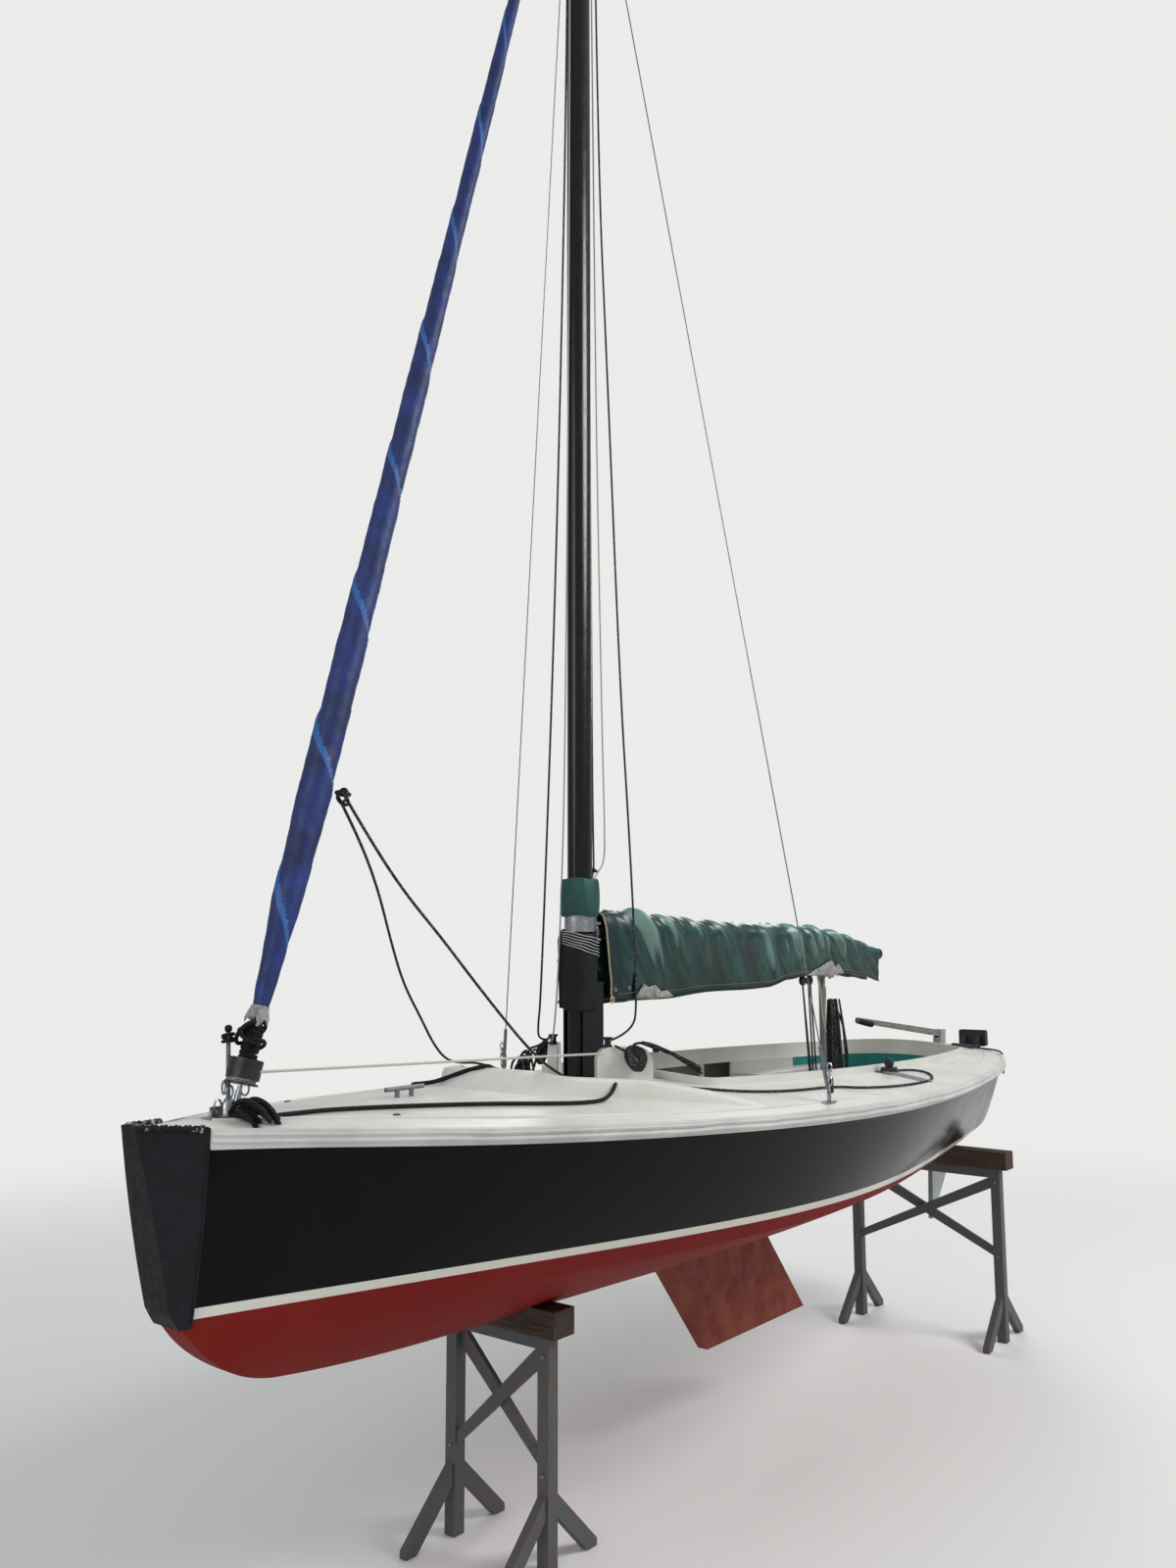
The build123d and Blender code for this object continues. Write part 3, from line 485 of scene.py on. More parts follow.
# Polyester braid, black with pale tracer yarns
BLACK_BRAID = Laid("black_braid", "cover_black", "#06070a", "#15171d", relief_mm=0.9, rough=(0.7, 0.85),
                   specular=0.3, pitch_mm=18, strands=4, fleck="#9c9a96", fleck_share=0.36)
# Three-strand black rope
BLACK_LAID = Laid("black_laid_rope", "cover_black", "#050608", "#16181e", relief_mm=1.8, rough=(0.65, 0.8),
                  specular=0.3, pitch_mm=38)
# Off-white braid of the furling line and halyards
PALE_BRAID = Laid("pale_braid", "sail_cloth", "#a9a69c", "#d8d4c8", relief_mm=0.7, rough=(0.7, 0.85), pitch_mm=14,
                  strands=4)
# Cream cotton cord that laces the cover
CREAM_CORD = Laid("cream_cord", "sail_cloth", "#a3946f", "#cdbf9f", relief_mm=0.7, rough=(0.8, 0.9), pitch_mm=16)
# Grey cord of the lashing round the mast
GREY_CORD = Laid("grey_cord", "sail_cloth", "#8b8c8a", "#c4c3bd", relief_mm=0.6, rough=(0.75, 0.9), pitch_mm=12)
# Stranded stainless wire of the stays
WIRE = Finish("stranded_wire", "bright_steel", "#6f7376", "#9a9ea1", patch_mm=12, grit_mm=1.2, relief_mm=0.15,
              rough=(0.35, 0.5), metallic=1.0)


def settle(piece: Piece, finish: Finish, body: Body, smooth: float | None = 35.0) -> Piece:
    """Give a piece its finish, shading and body.

    Args:
        piece: Object with its mesh in place.
        finish: Surface finish.
        body: Body that it moves with.
        smooth: Angle in degrees over which edges stay sharp, or None for flat faces.

    Returns:
        The same object.
    """
    piece.data.materials.clear()
    piece.data.materials.append(finish.build())
    if smooth is not None:
        piece.data.shade_smooth()
        piece.data.set_sharp_from_angle(angle=math.radians(smooth))
    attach(piece, body.value)
    LOG.info("%s: %d faces, rides on %s", piece.name, len(piece.data.polygons), body.value)
    return piece


def linked(name: str, data: bpy.types.ID) -> Piece:
    """New object that holds the data, linked to the scene."""
    item = bpy.data.objects.new(name, data)
    bpy.context.scene.collection.objects.link(item)
    return item


def mesh_piece(name: str, points: Sequence[Sequence[float]], faces: Sequence[Sequence[int]],
               flat: Sequence[tuple[float, float]] | None = None) -> Piece:
    """Make an object from points and faces, facing outwards.

    Args:
        name: Name of the object.
        points: Corner places.
        faces: Corner numbers of each face.
        flat: UV place of each face corner in turn, or None.

    Returns:
        The object, linked to the scene.
    """
    mesh = bpy.data.meshes.new(name)
    mesh.from_pydata([tuple(p) for p in points], [], [tuple(f) for f in faces])
    if flat is not None:
        layer = mesh.uv_layers.new(name="UVMap")
        layer.data.foreach_set("uv", [value for pair in flat for value in pair])
    return linked(name, mesh)


def outward(piece: Piece, merge: float = 1e-5) -> Piece:
    """Merge doubles and turn the faces of a closed mesh outwards.

    Args:
        piece: Object to mend.
        merge: Distance under which corners are one, or none to keep them all.

    Returns:
        The same object.
    """
    work = bmesh.new()
    work.from_mesh(piece.data)
    if merge:
        bmesh.ops.remove_doubles(work, verts=work.verts, dist=merge)
    bmesh.ops.recalc_face_normals(work, faces=work.faces)
    work.to_mesh(piece.data)
    work.free()
    return piece


def smooth_copy(node: str, finish: Finish, body: Body, angle: float = 30.0) -> Piece:
    """Stand in for a CAD node with a merged copy that shades smoothly.

    Args:
        node: Name of the node.
        finish: Surface finish.
        body: Body that it moves with.
        angle: Angle in degrees over which edges stay sharp.

    Returns:
        The copy.
    """
    copy = linked(node + "_finish", frame["nodes"][node].data.copy())
    work = bmesh.new()
    work.from_mesh(copy.data)
    bmesh.ops.remove_doubles(work, verts=work.verts, dist=2e-5)
    work.to_mesh(copy.data)
    work.free()
    if copy.data.has_custom_normals:
        with bpy.context.temp_override(object=copy, active_object=copy, selected_objects=[copy]):
            bpy.ops.mesh.customdata_custom_splitnormals_clear()
    settle(copy, finish, body, angle)
    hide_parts(node)
    return copy


def paint_nodes(nodes: Sequence[str], finish: Finish) -> None:
    """Give CAD nodes that keep their shape a finish.

    Args:
        nodes: Names of the nodes.
        finish: Surface finish.
    """
    for node in nodes:
        data = frame["nodes"][node].data
        data.materials.clear()
        data.materials.append(finish.build())
        LOG.info("%s: keeps its shape, finish %s", node, finish.name)


def bands(rows: int, sides: int) -> list[tuple[int, ...]]:
    """Faces between rows of corners that go all the way round.

    Args:
        rows: Number of gaps between the rows.
        sides: Corners of a row.

    Returns:
        Corner numbers of each face, row by row.
    """
    return [(i * sides + k, i * sides + (k + 1) % sides, (i + 1) * sides + (k + 1) % sides, (i + 1) * sides + k)
            for i in range(rows) for k in range(sides)]


def walled(piece: Piece, thick: float) -> Piece:
    """Give an open cloth its thickness in metres."""
    piece.modifiers.new("cloth", "SOLIDIFY").thickness = thick
    return piece


def tube(name: str, path: Sequence[Sequence[float]], radius: float | Sequence[float], sides: int = 10,
         closed: bool = False) -> Piece:
    """Sweep a round section along a path, with a UV map: round it by share, along it in metres.

    Args:
        name: Name of the object.
        path: Middle of each ring.
        radius: One radius, or one for each ring.
        sides: Corners of a ring.
        closed: Whether the path joins up with its start.

    Returns:
        The tube, closed at its ends.
    """
    middles = [Vector(p) for p in path]
    count = len(middles)
    radii = list(radius) if isinstance(radius, (list, tuple)) else [radius] * count
    runs = [(middles[min(i + 1, count - 1)] - middles[max(i - 1, 0)]).normalized() for i in range(count)]
    if closed:
        runs = [(middles[(i + 1) % count] - middles[i - 1]).normalized() for i in range(count)]
    side = runs[0].orthogonal().normalized()
    points, faces, flat, along = [], [], [], [0.0]
    for i, (middle, run) in enumerate(zip(middles, runs)):
        side = (side - run * side.dot(run)).normalized()
        other = run.cross(side)
        if i:
            along.append(along[-1] + (middle - middles[i - 1]).length)
        for k in range(sides):
            turn = 2 * math.pi * k / sides
            points.append(middle + (side * math.cos(turn) + other * math.sin(turn)) * radii[i])
    rings = count if closed else count - 1
    for i in range(rings):
        j = (i + 1) % count
        start, stop = along[i], along[j] if j else along[i] + (middles[0] - middles[-1]).length
        for k in range(sides):
            n = (k + 1) % sides
            faces.append((i * sides + k, i * sides + n, j * sides + n, j * sides + k))
            flat += [(k / sides, start), ((k + 1) / sides, start), ((k + 1) / sides, stop), (k / sides, stop)]
    if not closed:
        for ring, order in ((0, -1), (count - 1, 1)):
            corners = [ring * sides + k for k in range(sides)][::order]
            faces.append(corners)
            flat += [(0.5, along[ring])] * sides
    return mesh_piece(name, points, faces, flat)


def turned(name: str, start: Sequence[float], run: Sequence[float], table: Sequence[tuple[float, float]],
           sides: int = 32) -> Piece:
    """Turn a profile round an axis.

    Args:
        name: Name of the object.
        start: Point on the axis.
        run: Direction of the axis.
        table: Rows of distance along the axis and radius; the end rows close the shape on the axis.
        sides: Corners round the axis.

    Returns:
        The closed shape.
    """
    base, axis = Vector(start), Vector(run).normalized()
    path = [base + axis * distance for distance, _ in table]
    side = axis.orthogonal().normalized()
    other = axis.cross(side)
    points = []
    for middle, (_, radius) in zip(path, table):
        for k in range(sides):
            turn = 2 * math.pi * k / sides
            points.append(middle + (side * math.cos(turn) + other * math.sin(turn)) * radius)
    faces = bands(len(table) - 1, sides)
    points += [path[0], path[-1]]
    low, high = len(points) - 2, len(points) - 1
    last = (len(table) - 1) * sides
    for k in range(sides):
        n = (k + 1) % sides
        faces.append((low, n, k))
        faces.append((high, last + k, last + n))
    return outward(mesh_piece(name, points, faces))


def bar(name: str, low: Sequence[float], high: Sequence[float], round_off: float) -> Piece:
    """Bar between two corners with rounded edges.

    Args:
        name: Name of the object.
        low: Lowest corner.
        high: Highest corner.
        round_off: Radius of its edges.

    Returns:
        The bar, with its bevel applied.
    """
    piece = mesh_piece(name, [(x, y, z) for x in (low[0], high[0]) for y in (low[1], high[1])
                              for z in (low[2], high[2])],
                       [(0, 1, 3, 2), (4, 6, 7, 5), (0, 4, 5, 1), (2, 3, 7, 6), (0, 2, 6, 4), (1, 5, 7, 3)])
    work = bmesh.new()
    work.from_mesh(piece.data)
    bmesh.ops.recalc_face_normals(work, faces=work.faces)
    bmesh.ops.bevel(work, geom=work.edges[:], offset=round_off, segments=3, affect="EDGES", profile=0.5)
    work.to_mesh(piece.data)
    work.free()
    return piece


def joined(name: str, pieces: Sequence[Piece]) -> Piece:
    """Join meshes into one object and drop the parts.

    Args:
        name: Name of the result.
        pieces: Objects whose meshes are in place.

    Returns:
        The joined object.
    """
    work = bmesh.new()
    for piece in pieces:
        work.from_mesh(piece.data)
    mesh = bpy.data.meshes.new(name)
    work.to_mesh(mesh)
    work.free()
    for piece in pieces:
        bpy.data.objects.remove(piece)
    return linked(name, mesh)


def spline(points: Sequence[Sequence[float]], steps: int = 12) -> list[Vector]:
    """Read points from the smooth NURBS line of a route.

    Args:
        points: The route's own points.
        steps: Points that are read for each of the route's points.

    Returns:
        Places along the line, from end to end.
    """
    curve = bpy.data.curves.new("route", "CURVE")
    curve.dimensions = "3D"
    line = curve.splines.new("NURBS")
    line.points.add(len(points) - 1)
    for knot, place in zip(line.points, points):
        knot.co = (*place, 1.0)
    line.order_u = 3
    line.use_endpoint_u = True
    line.resolution_u = steps
    holder = linked("route", curve)
    mesh = bpy.data.meshes.new_from_object(holder)
    places = [v.co.copy() for v in mesh.vertices]
    bpy.data.objects.remove(holder)
    bpy.data.curves.remove(curve)
    bpy.data.meshes.remove(mesh)
    return places


def path_length(path: Sequence[Vector]) -> float:
    """Length of a path in metres."""
    return sum((b - a).length for a, b in zip(path, path[1:]))


def bend(piece: Piece, finish: Finish, first: Body, second: Body, start: Sequence[float],
         end: Sequence[float]) -> None:
    """Give a line that runs between two bodies its finish and smooth shading.

    Args:
        piece: Object with its mesh in place.
        finish: Surface finish.
        first: Body at its first end; only named in the log.
        second: Body at its other end; only named in the log.
        start: Not used.
        end: Not used.
    """
    piece.data.materials.append(finish.build())
    piece.data.shade_smooth()
    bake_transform(piece)
    LOG.info("%s: bends between %s and %s", piece.name, first.value, second.value)


@dataclass
class Ground:
    """Surface made of CAD nodes, on which ropes and fittings are set down."""

    nodes: tuple[str, ...]
    pieces: tuple[Piece, ...] = ()
    tree: BVHTree = field(init=False)

    def __post_init__(self) -> None:
        """Gather the nodes' triangles."""
        points, faces = [], []
        for data in [frame["nodes"][node].data for node in self.nodes] + [piece.data for piece in self.pieces]:
            shift = len(points)
            points += [v.co.copy() for v in data.vertices]
            faces += [tuple(i + shift for i in face.vertices) for face in data.polygons]
        self.tree = BVHTree.FromPolygons(points, faces)

    def height(self, x: float, y: float, over: float = 2.30) -> float:
        """Height of the surface.

        Args:
            x: Place along the boat.
            y: Place across the boat.
            over: Height from which it is looked for.

        Returns:
            Height above the floor.
        """
        hit = self.tree.ray_cast(Vector((x, y, over)), Vector((0, 0, -1)))[0]
        return hit.z if hit else over

    def beside(self, x: float, z: float, hand: Hand) -> float:
        """Outermost place across the boat at a place along it and a height, seen from one side."""
        hit = self.tree.ray_cast(Vector((x, hand.value * 2, z)), Vector((0, -hand.value, 0)))[0]
        return hit.y if hit else 0.0


@dataclass
class Repeat:
    """Geometry Nodes that set a piece along a path at a set spacing."""

    name: str
    spacing: float
    jitter: float = 0.0
    seed: int = 7

    def tree(self, finish: Finish) -> bpy.types.GeometryNodeTree:
        """Build the node tree.

        Args:
            finish: Finish of every copy.

        Returns:
            Tree with inputs Piece, Spacing, Jitter and Seed.
        """
        group = bpy.data.node_groups.new(self.name + "_along_path", "GeometryNodeTree")
        for label, kind in (("Path", "NodeSocketGeometry"), ("Piece", "NodeSocketObject"),
                            ("Spacing", "NodeSocketFloat"), ("Jitter", "NodeSocketFloat"), ("Seed", "NodeSocketInt")):
            group.interface.new_socket(label, in_out="INPUT", socket_type=kind)
        group.interface.new_socket("Pieces", in_out="OUTPUT", socket_type="NodeSocketGeometry")
        entry = add_node(group, "NodeGroupInput").outputs
        spread = add_node(group, "GeometryNodeResampleCurve", {"Curve": entry["Path"], "Length": entry["Spacing"]},
                          mode="LENGTH")
        tangent = add_node(group, "GeometryNodeInputTangent")
        turn = add_node(group, "FunctionNodeAlignRotationToVector", {"Vector": tangent.outputs["Tangent"]}, axis="Z")
        wobble = add_node(group, "FunctionNodeRandomValue", {"Seed": entry["Seed"]}, data_type="FLOAT_VECTOR")
        wobble.inputs["Min"].default_value = (-1, -1, -1)
        wobble.inputs["Max"].default_value = (1, 1, 1)
        scaled = add_node(group, "ShaderNodeVectorMath", {0: wobble.outputs[0], "Scale": entry["Jitter"]},
                          operation="SCALE")
        tilt = add_node(group, "FunctionNodeRotateRotation", {"Rotation": turn.outputs[0],
                                                             "Rotate By": scaled.outputs[0]}, rotation_space="LOCAL")
        shape = add_node(group, "GeometryNodeObjectInfo", {"Object": entry["Piece"]})
        copies = add_node(group, "GeometryNodeInstanceOnPoints", {
            "Points": spread.outputs["Curve"], "Instance": shape.outputs["Geometry"], "Rotation": tilt.outputs[0]})
        real = add_node(group, "GeometryNodeRealizeInstances", {"Geometry": copies.outputs["Instances"]})
        done = add_node(group, "GeometryNodeSetMaterial", {"Geometry": real.outputs["Geometry"],
                                                           "Material": finish.build()})
        add_node(group, "NodeGroupOutput", {"Pieces": done.outputs["Geometry"]})
        return group

    def along(self, path: Sequence[Sequence[float]], piece: Piece, finish: Finish,
              body: Body) -> Piece:
        """Set copies of a piece along a path as one mesh.

        Args:
            path: Corners of the path.
            piece: Object at the origin with its own Z along the path; it is dropped afterwards.
            finish: Finish of every copy.
            body: Body that they move with.

        Returns:
            The mesh of all copies.
        """
        curve = bpy.data.curves.new(self.name + "_path", "CURVE")
        curve.dimensions = "3D"
        line = curve.splines.new("POLY")
        line.points.add(len(path) - 1)
        for knot, place in zip(line.points, path):
            knot.co = (*place, 1.0)
        holder = linked(self.name + "_path", curve)
        group = self.tree(finish)
        modifier = holder.modifiers.new("repeat", "NODES")
        modifier.node_group = group
        values = {"Piece": piece, "Spacing": self.spacing, "Jitter": self.jitter, "Seed": self.seed}
        for item in group.interface.items_tree:
            if item.item_type == "SOCKET" and item.in_out == "INPUT" and item.name in values:
                modifier[item.identifier] = values[item.name]
        view = bpy.context.evaluated_depsgraph_get()
        view.update()
        mesh = bpy.data.meshes.new_from_object(holder.evaluated_get(view))
        bpy.data.objects.remove(holder)
        bpy.data.objects.remove(piece)
        return settle(linked(self.name, mesh), finish, body)


def hoop(name: str, middle: Sequence[float], wide: Sequence[float], tall: Sequence[float], thick: float,
         steps: int = 20, sides: int = 8) -> Piece:
    """Closed loop of round stock along an ellipse.

    Args:
        name: Name of the object.
        middle: Middle of the ellipse.
        wide: Its first half axis.
        tall: Its second half axis.
        thick: Radius of the stock.
        steps: Rings along the loop.
        sides: Corners of a ring.

    Returns:
        The loop.
    """
    turns = [2 * math.pi * k / steps for k in range(steps)]
    return tube(name, [Vector(middle) + Vector(wide) * math.cos(a) + Vector(tall) * math.sin(a) for a in turns],
                thick, sides, closed=True)


def ring(radius: float, thick: float, steps: int = 20) -> Piece:
    """Ring round its own Z axis, for repeating."""
    return hoop("ring", (0, 0, 0), (radius, 0, 0), (0, radius, 0), thick, steps, 6)


@dataclass
class Rope:
    """Free rope that lies or hangs by its own weight."""

    name: str
    route: tuple[Point, ...]
    diameter: float
    finish: Finish
    body: Body = Body.HULL
    far_end: str = "bare"
    lay: str = "loose"

    def build(self) -> Piece:
        """Returns:
            The rope's tube.
        """
        path = spline(self.route)
        radius = self.diameter / 2
        radii = [radius] * len(path)
        radii[0] = radii[-1] = radius * 0.72
        piece = settle(tube(self.name, path, radii), self.finish, self.body, None)
        piece.data.shade_smooth()
        return piece


@dataclass
class Hull:
    """Painted shell, keel, deck mouldings, rub rail and stem cover."""

    rib_radius: float = 0.0085
    rib_drops: tuple[float, float] = (0.012, 0.034)
    rail_ends: tuple[float, float] = (-2.93, 3.055)
    rail_steps: int = 60
    bead_radius: float = 0.0065
    ridge_high: float = 0.074

    def build(self) -> Piece:
        """Dress the hull.

        Returns:
            The breakwater, on which ropes lie.
        """
        shell = smooth_copy("hull_shell", TOPSIDE_PAINT, Body.HULL, 28)
        inside = shell.data.attributes.new("inside", "FLOAT", "FACE")
        for face, mark in zip(shell.data.polygons, inside.data):
            inward = face.normal.y * math.copysign(1, face.center.y) < -0.05 or face.normal.z > 0.3
            mark.value = float(inward or (face.center.x < -2.6 and face.normal.x > 0.5))
        smooth_copy("keel_fin", KEEL_PAINT, Body.HULL, 28)
        smooth_copy("deck", DECK_GELCOAT, Body.HULL, 28)
        smooth_copy("rub_rail", RAIL_VINYL, Body.HULL, 28)
        smooth_copy("stem_cover", BLACK_CANVAS, Body.HULL, 40)
        ground = Ground(("deck",))
        self.rail_ribs()
        self.deck_beads(ground)
        self.stem_edging()
        return self.ridge(ground)

    def ridge(self, ground: Ground) -> Piece:
        """The breakwater: a ramp across its blunt nose, and steep arms that fade out aft.

        Args:
            ground: The deck's surface.

        Returns:
            The ridge.
        """
        half = [(0.785, 0.905, 0), (1.00, 0.750, 0), (1.30, 0.535, 0), (1.565, 0.345, 0), (1.665, 0.20, 0)]
        path = spline(half + [(1.70, 0, 0)] + [(x, -y, z) for x, y, z in half[::-1]], 10)
        whole = path_length(path)
        points, faces, along, count = [], [], 0.0, len(path)
        for i, spot in enumerate(path):
            run = (path[min(i + 1, count - 1)] - path[max(i - 1, 0)]).normalized()
            inward = Vector((-abs(run.y), run.x * math.copysign(1, run.y), 0))
            along += (spot - path[i - 1]).length if i else 0.0
            nose = min(1.0, max(0.0, (0.40 - abs(spot.y)) / 0.16))
            ramp = 0.018 + 0.15 * nose * nose * (3 - 2 * nose)
            high = self.ridge_high * min(1.0, min(along, whole - along) / 0.55) ** 0.8
            for out, share in ((0.0, None), (0.3 * ramp, 0.36), (0.7 * ramp, 0.80), (ramp, 0.95), (ramp + 0.010, 1.0),
                               (ramp + 0.034, 1.0), (ramp + 0.044, 0.93), (ramp + 0.054, 0.5), (ramp + 0.060, None)):
                place = spot + inward * out
                base = ground.height(place.x, place.y)
                points.append((place.x, place.y, base - 0.004 if share is None else base + high * share + 0.0005))
        for i in range(count - 1):
            for k in range(9):
                n = (k + 1) % 9
                faces.append((i * 9 + k, (i + 1) * 9 + k, (i + 1) * 9 + n, i * 9 + n))
        faces += [tuple(range(9)), tuple(range((count - 1) * 9, count * 9))[::-1]]
        piece = settle(outward(mesh_piece("breakwater_moulding", points, faces)), DECK_GELCOAT, Body.HULL, 50)
        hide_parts("breakwater")
        return piece

    def rail_ribs(self) -> None:
        """Two round ribs along each side of the rub rail."""
        rail = Ground(("rub_rail",))
        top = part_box("rub_rail")[1].z
        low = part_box("rub_rail")[0].z
        ribs = []
        for hand in Hand:
            for drop in self.rib_drops:
                path = []
                for i in range(self.rail_steps + 1):
                    x = self.rail_ends[0] + (self.rail_ends[1] - self.rail_ends[0]) * i / self.rail_steps
                    reach = max((abs(rail.beside(x, low + (top - low) * k / 40, hand)), low + (top - low) * k / 40)
                                for k in range(41))
                    highest = max(low + (top - low) * k / 40 for k in range(41)
                                  if abs(rail.beside(x, low + (top - low) * k / 40, hand)) > reach[0] - 0.02)
                    path.append((x, hand.value * (reach[0] - 0.006), highest - drop))
                ribs.append(tube("rib", spline(path, 4), self.rib_radius, 8))
        settle(joined("rub_rail_ribs", ribs), RAIL_VINYL, Body.HULL)

    def deck_beads(self, ground: Ground) -> None:
        """Raised border lines of the moulding all along the deck, and round the panel of the after deck."""
        lines = (((2.98, 0.035), (2.6, 0.255), (2.1, 0.51), (1.5, 0.745), (0.75, 0.94), (0.0, 1.005),
                  (-0.7, 0.99), (-1.4, 0.885), (-2.0, 0.745), (-2.5, 0.575), (-2.80, 0.43), (-2.86, 0.30),
                  (-2.875, 0.0)),
                 ((-1.60, 0.72), (-2.10, 0.60), (-2.48, 0.47), (-2.66, 0.36), (-2.70, 0.20), (-2.70, 0.0)))
        beads = []
        for hand in Hand:
            for line in lines:
                path = spline([(x, hand.value * y, 0) for x, y in line], 10)
                beads.append(tube("bead", [(p.x, p.y, ground.height(p.x, p.y) + 0.001) for p in path],
                                  self.bead_radius, 8))
        settle(joined("deck_beads", beads), DECK_GELCOAT, Body.HULL)

    def stem_edging(self) -> None:
        """Folded, torn top edge of the stem cover and its hem down both sides."""
        low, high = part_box("stem_cover")
        cover = Ground(("stem_cover",))
        sides = {}
        for hand in Hand:
            sides[hand] = [(low.x + 0.004, cover.beside(low.x + 0.006, z, hand) + hand.value * 0.001, z)
                           for z in (low.z + 0.02 + (high.z - low.z - 0.10) * k / 16 for k in range(17))]
        settle(joined("stem_cover_hem", [tube("hem", path, 0.004, 8) for path in sides.values()]), BLACK_CANVAS,
               Body.HULL)
        rim = []
        for hand in Hand:
            edge = []
            for k in range(9):
                x = low.x + 0.012 + (high.x - low.x - 0.035) * k / 8
                y = cover.beside(x, high.z - 0.045, hand) - hand.value * 0.006
                edge.append((x, y, cover.height(x, y - hand.value * 0.006) - 0.006))
            rim += edge if hand is Hand.PORT else edge[::-1]
        path = spline(rim, 8)
        lumps = [0.0115 + 0.0035 * math.sin(i * 0.9) * math.sin(i * 0.37 + 1) for i in range(len(path))]
        settle(tube("stem_cover_fold", path, lumps, 12), TORN_CANVAS, Body.HULL, 80)


@dataclass
class Cockpit:
    """Sole, seats, seat backs, lip and side tracks."""

    def build(self) -> None:
        """Dress the cockpit."""
        smooth_copy("cockpit_lip", DECK_GELCOAT, Body.HULL, 35)
        smooth_copy("seat_backs", SEAT_CLOTH, Body.HULL, 35)
        paint_nodes(("cockpit_sole", "bulkheads", "seat_port", "seat_starboard"), LINER_FLOWCOAT)
        smooth_copy("deck_posts", LINER_FLOWCOAT, Body.HULL, 35)
        paint_nodes(("sheet_tracks", "chainplates"), STAINLESS)


